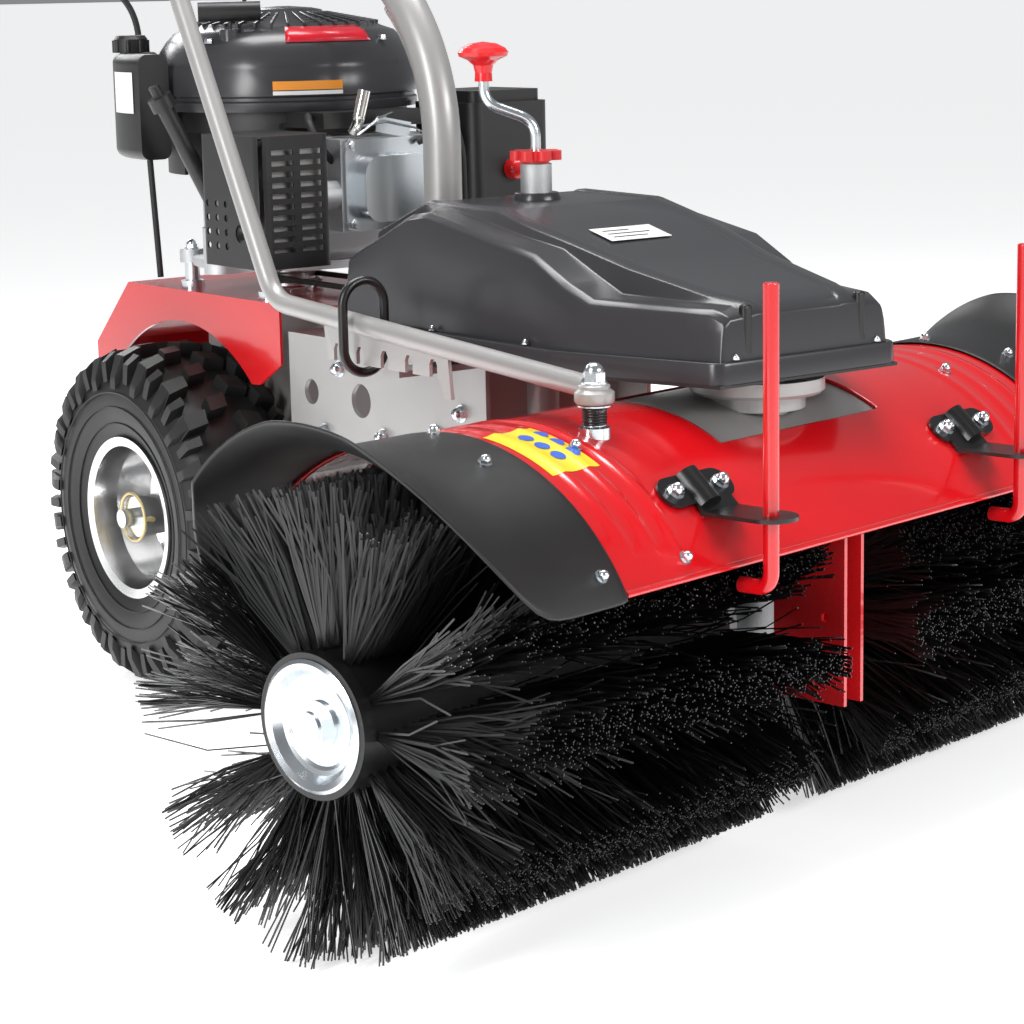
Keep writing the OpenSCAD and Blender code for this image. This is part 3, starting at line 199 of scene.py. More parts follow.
class Surface:
    """The finishes of the sweeper."""

    RED_ENAMEL = Finish("red_enamel", (0.60, 0.003, 0.007), 0.0, 0.20, 0.6, 600, 0.03, 0.06, 0.15, (0.9, 0.2, 0.2))
    RED_MOULDED = Finish("red_moulded", (0.70, 0.012, 0.016), 0.0, 0.28, 0.2, 1500, 0.05, 0.08)
    GREY_ENAMEL = Finish("grey_enamel", (0.36, 0.352, 0.345), 0.35, 0.36, 0.15, 1800, 0.10, 0.06, 0.2, (0.7, 0.7, 0.7))
    BLACK_GLOSS = Finish("black_gloss", (0.006, 0.006, 0.0065), 0.0, 0.17, 0.2, 2400, 0.03, 0.15)
    BLACK_GRAINED = Finish("black_grained", (0.008, 0.008, 0.0085), 0.0, 0.40, 0.0, 2600, 0.22, 0.2, 0.05, (0.1, 0.1, 0.1))
    BLACK_POWDER = Finish("black_powder_coat", (0.006, 0.006, 0.0065), 0.0, 0.30, 0.1, 1500, 0.22, 0.15)
    ZINC = Finish("bright_zinc", (0.70, 0.74, 0.77), 1.0, 0.24, 0.0, 220, 0.06, 0.14)
    YELLOW_ZINC = Finish("yellow_zinc", (0.76, 0.62, 0.34), 1.0, 0.28, 0.0, 220, 0.06, 0.2)
    CAST = Finish("sand_cast_alloy", (0.47, 0.48, 0.49), 0.85, 0.46, 0.0, 1300, 0.7, 0.15, 0.5, (0.8, 0.8, 0.8))
    POLISHED = Finish("polished_alloy", (0.80, 0.80, 0.80), 1.0, 0.17, 0.0, 500, 0.06, 0.08)
    STEEL = Finish("turned_steel", (0.46, 0.45, 0.44), 1.0, 0.32, 0.0, 700, 0.15, 0.15, 0.0, (0, 0, 0), (1, 1, 12))
    RUBBER = Finish("black_rubber", (0.012, 0.012, 0.012), 0.0, 0.58, 0.0, 1500, 0.3, 0.2)
    TREAD = Finish("tread_rubber", (0.011, 0.011, 0.011), 0.0, 0.46, 0.0, 800, 0.35, 0.25, 0.06, (0.05, 0.05, 0.05))
    NYLON = Finish("black_nylon", (0.0045, 0.0045, 0.005), 0.0, 0.34, 0.0, 400, 0.0, 0.5, 0.0, (0, 0, 0), (1, 1, 1), 0.7)
    CHROME = Finish("chrome_shield", (0.85, 0.83, 0.78), 1.0, 0.12, 0.0, 400, 0.03, 0.05)
    PAPER_WHITE = Finish("white_label", (0.80, 0.80, 0.79), 0.0, 0.42, 0.2, 900, 0.02, 0.02)
    LABEL_YELLOW = Finish("yellow_label", (0.86, 0.62, 0.02), 0.0, 0.35, 0.3, 900, 0.02, 0.03)
    LABEL_ORANGE = Finish("orange_label", (0.85, 0.30, 0.02), 0.0, 0.35, 0.3, 900, 0.02, 0.03)
    LABEL_RED = Finish("red_label", (0.60, 0.004, 0.02), 0.0, 0.30, 0.3, 900, 0.02, 0.05)
    LABEL_BLUE = Finish("blue_label", (0.03, 0.12, 0.55), 0.0, 0.35, 0.3, 900, 0.02, 0.03)
    LABEL_BLACK = Finish("black_label", (0.02, 0.02, 0.02), 0.0, 0.35, 0.3, 900, 0.02, 0.03)
    FLOOR = Finish("studio_floor", (0.96, 0.96, 0.96), 0.0, 0.85, 0.0, 80, 0.0, 0.003)


SLOT_FINISH = {
    "frame_grey": Surface.GREY_ENAMEL, "black_gloss": Surface.BLACK_GLOSS, "black_plastic": Surface.BLACK_GRAINED,
    "black_metal": Surface.BLACK_POWDER, "red_paint": Surface.RED_ENAMEL, "red_plastic": Surface.RED_MOULDED,
    "zinc": Surface.ZINC, "yellow_zinc": Surface.YELLOW_ZINC, "cast_alu": Surface.CAST,
    "polished_alu": Surface.POLISHED, "steel": Surface.STEEL, "rubber": Surface.RUBBER,
    "tyre_rubber": Surface.TREAD, "nylon_black": Surface.NYLON, "chrome": Surface.CHROME,
}


def fillet(corners: list[Point], radius: float, steps: int = 8) -> list[Vector]:
    """Rounds the corners of a route.

    Args:
        corners: The corner points.
        radius: The bend radius.
        steps: Points in each bend.

    Returns:
        The rounded route.
    """
    points = [Vector(c) for c in corners]
    route = [points[0]]
    for before, corner, after in zip(points, points[1:], points[2:]):
        back, ahead = (before - corner).normalized(), (after - corner).normalized()
        angle = math.pi - back.angle(ahead)
        reach = min(radius * math.tan(angle / 2), 0.48 * (before - corner).length, 0.48 * (after - corner).length)
        start, end = corner + back * reach, corner + ahead * reach
        for step in range(steps + 1):
            t = step / steps
            route.append(start * (1 - t) ** 2 + corner * 2 * t * (1 - t) + end * t * t)
    return [*route, points[-1]]


class Stock:
    """Collects the surfaces of one piece, in millimetres."""

    def __init__(self) -> None:
        """Starts with nothing."""
        self.verts: list[tuple[float, float, float]] = []
        self.faces: list[tuple[int, ...]] = []

    def grid(self, rows: list[list[Vector]], around: bool = True, caps: bool = True, loop: bool = False) -> None:
        """Joins rows of points with quads.

        Args:
            rows: Rows with the same number of points.
            around: Each row is a closed ring.
            caps: Close the first and last ring.
            loop: The last row joins the first.
        """
        base, wide = len(self.verts), len(rows[0])
        self.verts += [tuple(p) for row in rows for p in row]
        for r in range(len(rows) if loop else len(rows) - 1):
            below, above = base + r * wide, base + ((r + 1) % len(rows)) * wide
            for c in range(wide if around else wide - 1):
                d = (c + 1) % wide
                self.faces.append((below + c, below + d, above + d, above + c))
        if caps and around and not loop:
            self.faces.append(tuple(base + c for c in reversed(range(wide))))
            self.faces.append(tuple(base + (len(rows) - 1) * wide + c for c in range(wide)))

    def tube(self, route: list[Vector], radius: float, sides: int = 16, loop: bool = False) -> None:
        """Sweeps a round section along a route.

        Args:
            route: The middle line.
            radius: The tube's radius.
            sides: Points round the section.
            loop: The route is closed.
        """
        count = len(route)
        rows, side = [], None
        for i, point in enumerate(route):
            before = route[(i - 1) % count] if loop or i else route[0]
            after = route[(i + 1) % count] if loop or i < count - 1 else route[-1]
            along = (after - before).normalized()
            if side is None:
                side = along.orthogonal().normalized()
            side = (side - along * side.dot(along)).normalized()
            other = along.cross(side)
            rows.append([point + side * (radius * math.cos(t)) + other * (radius * math.sin(t))
                         for t in (2 * math.pi * k / sides for k in range(sides))])
        self.grid(rows, loop=loop)

    def lathe(self, profile: list[tuple[float, float]], origin: Point, axis: Point, segments: int = 96,
              closed: bool = False) -> None:
        """Turns a profile about an axis.

        Args:
            profile: Points as (radius, height along the axis).
            origin: The axis's start.
            axis: The axis's direction.
            segments: Steps round the turn.
            closed: The profile's last point joins its first.
        """
        along = Vector(axis).normalized()
        u = along.orthogonal().normalized()
        v = along.cross(u)
        rows = []
        for r, h in profile:
            r = max(r, 0.01)
            rows.append([Vector(origin) + along * h + u * (r * math.cos(t)) + v * (r * math.sin(t))
                         for t in (2 * math.pi * k / segments for k in range(segments))])
        self.grid(rows, caps=not closed, loop=closed)

    def block(self, centre: Point, size: Point, turn: Matrix | None = None) -> None:
        """Adds a box.

        Args:
            centre: Its middle.
            size: Its lengths.
            turn: How it is turned, if it is.
        """
        base = len(self.verts)
        for z in (-0.5, 0.5):
            for x, y in ((-0.5, -0.5), (0.5, -0.5), (0.5, 0.5), (-0.5, 0.5)):
                corner = Vector((x * size[0], y * size[1], z * size[2]))
                if turn is not None:
                    corner = turn @ corner
                self.verts.append(tuple(corner + Vector(centre)))
        quads = ((0, 3, 2, 1), (4, 5, 6, 7), (0, 1, 5, 4), (1, 2, 6, 5), (2, 3, 7, 6), (3, 0, 4, 7))
        self.faces += [tuple(base + i for i in quad) for quad in quads]


@dataclass
class Workshop:
    """Seats pieces in the frame, and gives them their finish and body."""

    swivel: Vector
    turn: float = math.radians(10)

    def matrix(self, place: Place) -> Matrix:
        """The change from millimetres in a place to metres in the frame.

        Args:
            place: The set of axes.

        Returns:
            The matrix.
        """
        move = Matrix.Translation((self.swivel.x, self.swivel.y, 0.0))
        spin = Matrix.Rotation(self.turn, 4, "Z") if place is Place.HEAD else Matrix.Identity(4)
        return move @ spin @ Matrix.Scale(MM, 4)

    def make(self, stock: Stock, name: str, place: Place, body: Body, finish: Finish,
             stands_for: tuple[str, ...] = (), bevel: float = 0.0, sharp: float = 38.0, thick: float = 0.0,
             smooth: int = 0) -> bpy.types.Object:
        """Makes a piece of its collected surfaces and seats it.

        Args:
            stock: The surfaces.
            name: The piece's name.
            place: The axes it is drawn in.
            body: The body it rides on.
            finish: Its finish.
            stands_for: The CAD nodes it replaces.
            bevel: Width of the rounded edges, in millimetres.
            sharp: Angle above which an edge stays sharp, in degrees.
            thick: Sheet thickness to add, in millimetres.
            smooth: Levels of subdivision.

        Returns:
            The seated piece.
        """
        mesh = bpy.data.meshes.new(name)
        mesh.from_pydata(stock.verts, [], stock.faces)
        mesh.transform(self.matrix(place))
        mesh.polygons.foreach_set("use_smooth", [True] * len(mesh.polygons))
        mesh.validate()
        mesh.set_sharp_from_angle(angle=math.radians(sharp))
        piece = bpy.data.objects.new(name, mesh)
        bpy.context.scene.collection.objects.link(piece)
        if thick:
            solid = piece.modifiers.new("thickness", "SOLIDIFY")
            solid.thickness = thick * MM
            solid.offset = 0.0
        if bevel:
            round_edges = piece.modifiers.new("round edges", "BEVEL")
            round_edges.width = bevel * MM
            round_edges.segments = 3
            round_edges.limit_method = "ANGLE"
            round_edges.angle_limit = math.radians(28)
            round_edges.harden_normals = False
        if smooth:
            piece.modifiers.new("smooth", "SUBSURF").levels = smooth
            piece.modifiers["smooth"].render_levels = smooth
        piece.data.materials.append(finish.build())
        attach(piece, body.value)
        if stands_for:
            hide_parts(*stands_for)
        LOG.info("piece %s: %d faces", name, len(mesh.polygons))
        return piece


@dataclass
class Studio:
    """Floor, light and camera."""

    eye: Point = (-1545.8, -1692.6, 740.3)
    azimuth: float = -37.01
    elevation: float = 11.16
    roll: float = -1.17
    lens: float = 93.08

    def camera(self, shop: Workshop) -> None:
        """Sets the camera.

        Args:
            shop: Gives the frame's place.
        """
        az, el, roll = (math.radians(a) for a in (self.azimuth, self.elevation, self.roll))
        back = Vector((math.sin(az) * math.cos(el), -math.cos(az) * math.cos(el), math.sin(el)))
        right = (-back).cross(Vector((0, 0, 1))).normalized()
        up = right.cross(-back)
        turned_right = right * math.cos(roll) + up * math.sin(roll)
        turned_up = up * math.cos(roll) - right * math.sin(roll)
        data = bpy.data.cameras.new("camera")
        data.lens, data.sensor_width, data.clip_end = self.lens, 36.0, 900.0
        camera = bpy.data.objects.new("camera", data)
        pose = Matrix((turned_right, turned_up, back)).transposed().to_4x4()
        pose.translation = shop.matrix(Place.CHASSIS) @ Vector(self.eye)
        camera.matrix_world = pose
        bpy.context.scene.collection.objects.link(camera)
        bpy.context.scene.camera = camera

    def lamp(self, name: str, place: Point, target: Point, size: tuple[float, float], power: float) -> None:
        """Hangs a soft box.

        Args:
            name: Its name.
            place: Where it hangs, in metres.
            target: What it points at.
            size: Its width and height.
            power: Its power in watts.
        """
        data = bpy.data.lights.new(name, "AREA")
        data.shape, data.size, data.size_y, data.energy = "RECTANGLE", size[0], size[1], power
        lamp = bpy.data.objects.new(name, data)
        lamp.location = place
        lamp.rotation_euler = (Vector(target) - Vector(place)).to_track_quat("-Z", "Y").to_euler()
        bpy.context.scene.collection.objects.link(lamp)

    def build(self, shop: Workshop) -> None:
        """Sets up the whole studio.

        Args:
            shop: Gives the frame's place.
        """
        self.camera(shop)
        world = bpy.data.worlds.new("studio")
        world.use_nodes = True
        world.node_tree.nodes["Background"].inputs["Color"].default_value = (0.95, 0.97, 1.0, 1.0)
        world.node_tree.nodes["Background"].inputs["Strength"].default_value = 0.26
        bpy.context.scene.world = world
        bpy.context.scene.view_settings.view_transform = "Standard"
        self.lamp("overhead box", (0.1, 0.2, 3.0), (0, 0, 0.3), (2.2, 1.0), 85.0)
        self.lamp("left strip", (-2.8, -0.9, 1.5), (-0.1, -0.2, 0.35), (0.7, 2.0), 60.0)
        self.lamp("front strip", (1.1, -3.2, 1.7), (0.1, -0.4, 0.3), (1.8, 0.6), 50.0)
        self.lamp("rear box", (0.4, 3.0, 1.9), (0, 0, 0.5), (2.2, 0.8), 45.0)
        mesh, edge, drop = bpy.data.meshes.new("floor"), 400.0, -0.0004
        mesh.from_pydata([(-edge, -edge, drop), (edge, -edge, drop), (edge, edge, drop), (-edge, edge, drop)],
                         [], [(0, 1, 2, 3)])
        floor = bpy.data.objects.new("floor", mesh)
        pale = Surface.FLOOR.build()
        glow = pale.node_tree.nodes["Principled BSDF"]
        glow.inputs["Emission Color"].default_value = (1.0, 1.0, 1.0, 1.0)
        glow.inputs["Emission Strength"].default_value = 0.62
        floor.data.materials.append(pale)
        bpy.context.scene.collection.objects.link(floor)


@dataclass
class Broom:
    """The nylon broom: tufts in straight rows round two ring cores."""

    shaft_y: float = 50.0
    shaft_z: float = 190.0
    reach: float = 188.5
    root: float = 55.0
    inner: float = 52.0
    outer: float = 476.0
    rows: int = 12
    tuft_step: float = 9.2
    strands: int = 27
    strand: float = 0.95
    flare: float = 36.0

    def tufts(self, rng: random.Random) -> Stock:
        """Sets every bristle of the broom.

        Args:
            rng: The seeded draw.

        Returns:
            The collected bristles.
        """
        stock = Stock()
        for side in (-1, 1):
            count = int((self.outer - self.inner) / self.tuft_step)
            for row in range(self.rows):
                angle = math.radians(360 / self.rows * row + (4 if side > 0 else 0) + rng.uniform(-3, 3))
                lean = rng.uniform(-0.05, 0.05)
                for k in range(count + 1):
                    x = self.inner + (self.outer - self.inner) * k / count
                    end = max(0.0, (x - self.outer + 26) / 26)
                    drift = 0.05 * math.sin(x / 61 + row)
                    self._tuft(stock, rng, side * x, angle + lean + drift * 0.5, side * end)
        return stock

    def _tuft(self, stock: Stock, rng: random.Random, x: float, angle: float, flare: float) -> None:
        """Sets one tuft.

        Args:
            stock: Takes the bristles.
            rng: The seeded draw.
            x: Its place along the shaft.
            angle: Its direction round the shaft, in radians.
            flare: How far its tips lean out at the broom's end.
        """
        side = math.copysign(1.0, x)
        spread, bunch = rng.uniform(0.045, 0.10), rng.uniform(-0.05, 0.05)
        for _ in range(self.strands):
            stray = rng.random() < 0.05
            fan = rng.gauss(0, spread) * (2.2 if stray else 1.0) + bunch
            slant = rng.gauss(0, 9.0) * (2.0 if stray else 1.0) + flare * rng.uniform(8, 62)
            length = self.reach - abs(rng.gauss(0, 4.0)) - (rng.uniform(4, 30) if stray else 0)
            bow, sway = rng.gauss(0, 0.035), rng.gauss(0, 3.0)
            spine = []
            for t in (0.0, 0.55, 1.0):
                r = self.root + (length - self.root) * t
                a = angle + fan * (0.25 + 0.75 * t) + bow * math.sin(math.pi * t)
                along = x + rng.uniform(-0.6, 0.6) + slant * t * t + sway * math.sin(math.pi * t)
                along = side * max(self.inner - 3, min(self.outer + self.flare, side * along))
                spine.append(Vector((along, self.shaft_y + r * math.cos(a), self.shaft_z + r * math.sin(a))))
            self._strand(stock, spine, rng.uniform(0.75, 1.1) * self.strand)

    def _strand(self, stock: Stock, spine: list[Vector], radius: float) -> None:
        """Adds one bristle as a three-sided rod.

        Args:
            stock: Takes its faces.
            spine: Its middle line.
            radius: Its radius.
        """
        base = len(stock.verts)
        along = (spine[-1] - spine[0]).normalized()
        side = along.orthogonal().normalized() * radius
        other = along.cross(side)
        corners = (side, -0.5 * side + 0.866 * other, -0.5 * side - 0.866 * other)
        for point in spine:
            stock.verts += [tuple(point + c) for c in corners]
        for row in range(len(spine) - 1):
            low = base + 3 * row
            for c in range(3):
                d = (c + 1) % 3
                stock.faces.append((low + c, low + d, low + 3 + d, low + 3 + c))
        stock.faces.append((base + 3 * len(spine) - 3, base + 3 * len(spine) - 2, base + 3 * len(spine) - 1))

    def build(self, shop: Workshop) -> None:
        """Makes the bristles.

        Args:
            shop: Seats them.
        """
        shop.make(self.tufts(random.Random(11)), "broom_tufts", Place.HEAD, Body.BROOM,
                  Surface.NYLON, ("bristles",), sharp=50)


@dataclass
class Hood:
    """The red sheet hood with embossed ribs, and its two black plastic end fenders."""

    shaft_y: float = 50.0
    shaft_z: float = 190.0
    radius: float = 202.25
    half: float = 385.0
    lip_front: float = 29.0
    lip_rear: float = 20.0
    wall: float = 2.5
    ribs: tuple[float, ...] = (248.0, 276.0, 304.0)
    lap: float = 57.0
    end: float = 500.0

    def at(self, x: float, angle: float, radius: float) -> Vector:
        """A point about the shaft, at an angle above level from the front, in degrees."""
        a = math.radians(angle)
        return Vector((x, self.shaft_y - radius * math.cos(a), self.shaft_z + radius * math.sin(a)))

    def swell(self, x: float, angle: float) -> float:
        """How far an embossed rib lifts the sheet at a place."""
        fade = min(1.0, max(0.0, (angle - self.lip_front - 7) / 5), max(0.0, (180 - self.lip_rear - 8 - angle) / 5))
        near = min(abs(abs(x) - rib) for rib in self.ribs)
        bead = 0.5 + 0.5 * math.cos(math.pi * min(1.0, near / 9.0))
        return 1.9 * bead * max(0.0, fade)

    def sheet(self) -> Stock:
        """The hood's sheet, open where the neck passes.

        Returns:
            The surfaces.
        """
        xs = sorted({round(-self.half + 3.5 * i, 2) for i in range(int(2 * self.half / 3.5) + 1)}
                    | {-112.0, 112.0, self.half})
        angles = sorted({self.lip_front + 1.5 * i for i in range(88)} | {61.0, 108.0, 180 - self.lip_rear})
        angles = [a for a in angles if a <= 180 - self.lip_rear]
        stock = Stock()
        for x in xs:
            stock.verts += [tuple(self.at(x, a, self.radius + self.swell(x, a))) for a in angles]
        wide = len(angles)
        for i in range(len(xs) - 1):
            for j in range(wide - 1):
                inside = -112.01 < xs[i] < 111.9 and 60.9 < angles[j] < 107.9
                if not inside:
                    a = i * wide + j
                    stock.faces.append((a, a + 1, a + wide + 1, a + wide))
        return stock

    def fender(self, side: int) -> Stock:
        """One fender: laps the hood, then flares out to a rolled edge.

        Args:
            side: -1 or 1.

        Returns:
            The surfaces.
        """
        inner = self.half - self.lap
        ring = self.radius + 2.9
        shape = [(inner, 0.0), (inner + 14, 0.0), (self.half, 0.0), (self.half + 25, 0.4), (self.half + 45, 1.2),
                 (self.half + 62, 3.4), (self.half + 78, 7.5), (self.half + 92, 14.0), (self.half + 103, 21.5),
                 (self.end - 4, 28.5), (self.end, 32.0)]
        stock, rows = Stock(), []
        for x, lift in shape:
            back = min(1.0, max(0.0, (x - (self.end - 76)) / 76))
            trail = min(1.0, max(0.0, (x - (self.end - 92)) / 92))
            front = self.lip_front - 2 + 50 * back ** 1.35
            rear = 180 - self.lip_rear + 6 - 42 * trail ** 1.15
            row = []
            for k in range(49):
                a = front + (rear - front) * k / 48
                row.append(self.at(side * x, a, ring + lift * self._open(a)))
            rows.append(row)
        stock.grid(rows, around=False)
        return stock

    def _open(self, angle: float) -> float:
        """How strongly the flare opens at an angle."""
        return max(0.05, 1.0 - 0.9 * max(0.0, (angle - 96) / 34) ** 1.3)

    def label(self, x0: float, x1: float, a0: float, a1: float, lift: float) -> Stock:
        """A thin sticker on the hood.

        Args:
            x0: Its first edge.
            x1: Its last edge.
            a0: Its lower angle.
            a1: Its upper angle.
            lift: Its height over the sheet.

        Returns:
            The surfaces.
        """
        stock = Stock()
        rows = []
        for i in range(13):
            x = x0 + (x1 - x0) * i / 12
            rows.append([self.at(x, a0 + (a1 - a0) * k / 16,
                                 self.radius + 1.35 + lift + self.swell(x, a0 + (a1 - a0) * k / 16))
                         for k in range(17)])
        stock.grid(rows, around=False)
        return stock

    def marks(self, shop: Workshop) -> None:
        """Blank pictogram plates on the yellow sticker.

        Args:
            shop: Seats them.
        """
        stock = Stock()
        for i in range(3):
            for j in range(2):
                angle, x = 68.5 + 5.0 * i, -288.0 + 17 * j
                middle = self.at(x, angle, self.radius + 1.9 + self.swell(x, angle))
                out = (middle - Vector((x, self.shaft_y, self.shaft_z))).normalized()
                stock.lathe([(0, 0.4), (6.4, 0.4), (6.6, 0.0), (0, 0)], tuple(middle), tuple(out), 24)
        shop.make(stock, "hood_sticker_discs", Place.HEAD, Body.HEAD, Surface.LABEL_BLUE)

    def build(self, shop: Workshop) -> None:
        """Makes the hood and its fenders.

        Args:
            shop: Seats them.
        """
        shop.make(self.sheet(), "hood_sheet", Place.HEAD, Body.HEAD, Surface.RED_ENAMEL, ("hood",),
                  thick=self.wall, sharp=50)
        seat = Stock()
        rows = [[self.at(x, a, self.radius - 3.2) for a in [52 + 2 * k for k in range(34)]]
                for x in [-128 + 8 * i for i in range(33)]]
        seat.grid(rows, around=False)
        shop.make(seat, "hood_saddle", Place.HEAD, Body.HEAD, Surface.GREY_ENAMEL, thick=3.0)
        lip = Stock()
        for a in (self.lip_front, 180 - self.lip_rear):
            lip.tube([self.at(x, a, self.radius) for x in (-self.half + 58, -200, 0, 200, self.half - 58)], 2.6, 12)
        shop.make(lip, "hood_rolled_lips", Place.HEAD, Body.HEAD, Surface.RED_ENAMEL)
        for side, name in ((-1, "left"), (1, "right")):
            stock = self.fender(side)
            fender = shop.make(stock, f"fender_{name}", Place.HEAD, Body.HEAD,
                               Surface.BLACK_GRAINED, ("end_fenders",), thick=3.0, sharp=70, smooth=1)
            fender.data.materials[0] = Surface.BLACK_GRAINED.build()
        shop.make(self.label(-318, -262, 62, 84, 0.25), "hood_sticker", Place.HEAD, Body.HEAD,
                  Surface.LABEL_YELLOW)
        self.marks(shop)


@dataclass
class BeltCover:
    """The moulded cover over the belt, with its skirt, shoulder and raised crest."""

    skirt_low: float = 413.6
    skirt: float = 20.0
    stations: tuple[float, ...] = (-61.0, -58.5, -52.0, -45.0, -20.0, 20.0, 72.0, 98.0, 143.0, 190.0, 240.0, 300.0,
                                   330.0, 350.0, 400.0, 430.0)

    def between(self, y: float, table: tuple[tuple[float, float], ...]) -> float:
        """Reads a size from its stations along the cover."""
        return float(np.interp(y, [t[0] for t in table], [t[1] for t in table]))

    def half_section(self, y: float) -> list[tuple[float, float]]:
        """Half of the cover's section at a station, as (x, z) from the ledge to the middle.

        Args:
            y: The station.

        Returns:
            The points.
        """
        base = self.between(y, ((-68, 103), (98, 150), (440, 150)))
        side = self.between(y, ((-60, 470), (-45, 476), (72, 478), (143, 513), (300, 541), (330, 537), (432, 492)))
        crest = self.between(y, ((-64, 464), (-50, 480), (72, 503), (143, 522), (240, 545), (350, 547), (432, 515)))
        top = self.between(y, ((-64, 60), (-20, 74), (190, 100), (432, 100)))
        ledge = self.skirt_low + self.skirt
        wall = base - 9
        shoulder = min(side, crest)
        return [(wall, ledge), (wall - 2.5, ledge + 0.6 * (shoulder - ledge)), (wall - 5, shoulder - 5),
                (wall - 11, shoulder), (top + 5, shoulder + 1.5), (top, max(shoulder + 2, crest - 2)),
                (top - 7, max(shoulder + 3, crest)), (top - 18, max(shoulder + 3, crest)),
                (top - 21, max(shoulder + 2, crest - 1.6)), (0.0, max(shoulder + 2, crest - 1.2))]

    def shell(self) -> Stock:
        """The upper shell, lofted along the machine.

        Returns:
            The surfaces.
        """
        stock, rows = Stock(), []
        ys = [self.stations[0], *self.stations, self.stations[-1]]
        for n, y in enumerate(ys):
            section = self.half_section(y)
            full = section + [(-x, z) for x, z in reversed(section[:-1])]
            flat = n in (0, len(ys) - 1)
            inset = 3.0 if flat else 0.0
            shift = -1.5 if n == 0 else (1.5 if n == len(ys) - 1 else 0.0)
            rows.append([Vector((x * (1 - inset / 140) if flat else x, y + shift,
                                 self.skirt_low + self.skirt if flat else z)) for x, z in full])
        stock.grid(rows, around=False)
        return stock

    def rim(self) -> Stock:
        """The skirt round the foot, with its ledge.

        Returns:
            The surfaces.
        """
        outline = fillet([(-40, -68, 0), (-103, -68, 0), (-150, 98, 0), (-150, 440, 0), (150, 440, 0), (150, 98, 0),
                          (103, -68, 0), (40, -68, 0)], 16, 5)
        low, high = self.skirt_low, self.skirt_low + self.skirt
        stock, rows = Stock(), []
        middle = Vector((0, 190, 0))
        for p in outline:
            inward = (middle - p).normalized()
            rows.append([p + Vector((0, 0, low)), p + Vector((0, 0, high - 3)), p + inward * 1.2 + Vector((0, 0, high)),
                         p + inward * 12 + Vector((0, 0, high)), p + inward * 16 + Vector((0, 0, high - 2)),
                         p + inward * 3.5 + Vector((0, 0, low))])
        stock.grid(rows, around=True, loop=True)
        return stock

    def build(self, shop: Workshop) -> None:
        """Makes the cover, its recess and its blank label.

        Args:
            shop: Seats them.
        """
        shop.make(self.shell(), "belt_cover_shell", Place.CHASSIS, Body.CHASSIS, Surface.BLACK_GLOSS,
                  ("belt_cover",), bevel=3.2, sharp=60)
        shop.make(self.rim(), "belt_cover_rim", Place.CHASSIS, Body.CHASSIS, Surface.BLACK_GLOSS,
                  bevel=1.2, sharp=60)
        label = Stock()
        z = self.half_section(150)[-1][1]
        lift = (self.half_section(190)[-1][1] - self.half_section(110)[-1][1]) / 80
        tilt = Matrix.Rotation(math.atan(lift), 3, "X")
        label.block((-18, 148, z + 0.9), (70, 34, 0.5), tilt)
        shop.make(label, "cover_label", Place.CHASSIS, Body.CHASSIS, Surface.PAPER_WHITE, bevel=0.2)
        marks = Stock()
        for k, length in enumerate((40, 48, 30)):
            marks.block((-18 - (52 - length) / 2, 140 + 8 * k, z + 1.2 + lift * (8 * k - 8)), (length, 2.2, 0.2), tilt)
        shop.make(marks, "cover_label_bars", Place.CHASSIS, Body.CHASSIS, Surface.LABEL_BLACK)
        nose = Stock()
        for side in (-1, 1):
            nose.block((side * 66, -58, self.skirt_low + 44), (10, 9, 44))
        shop.make(nose, "cover_nose_ribs", Place.CHASSIS, Body.CHASSIS, Surface.BLACK_GRAINED,
                  bevel=3.0)
        cup = Stock()
        cup.lathe([(17, 12), (21, 12), (23, 8), (24, 0), (17, 0)], (0, 309, 539), (0, 0, 1), 48)
        shop.make(cup, "spindle_cup", Place.CHASSIS, Body.CHASSIS, Surface.BLACK_GLOSS, bevel=0.8)


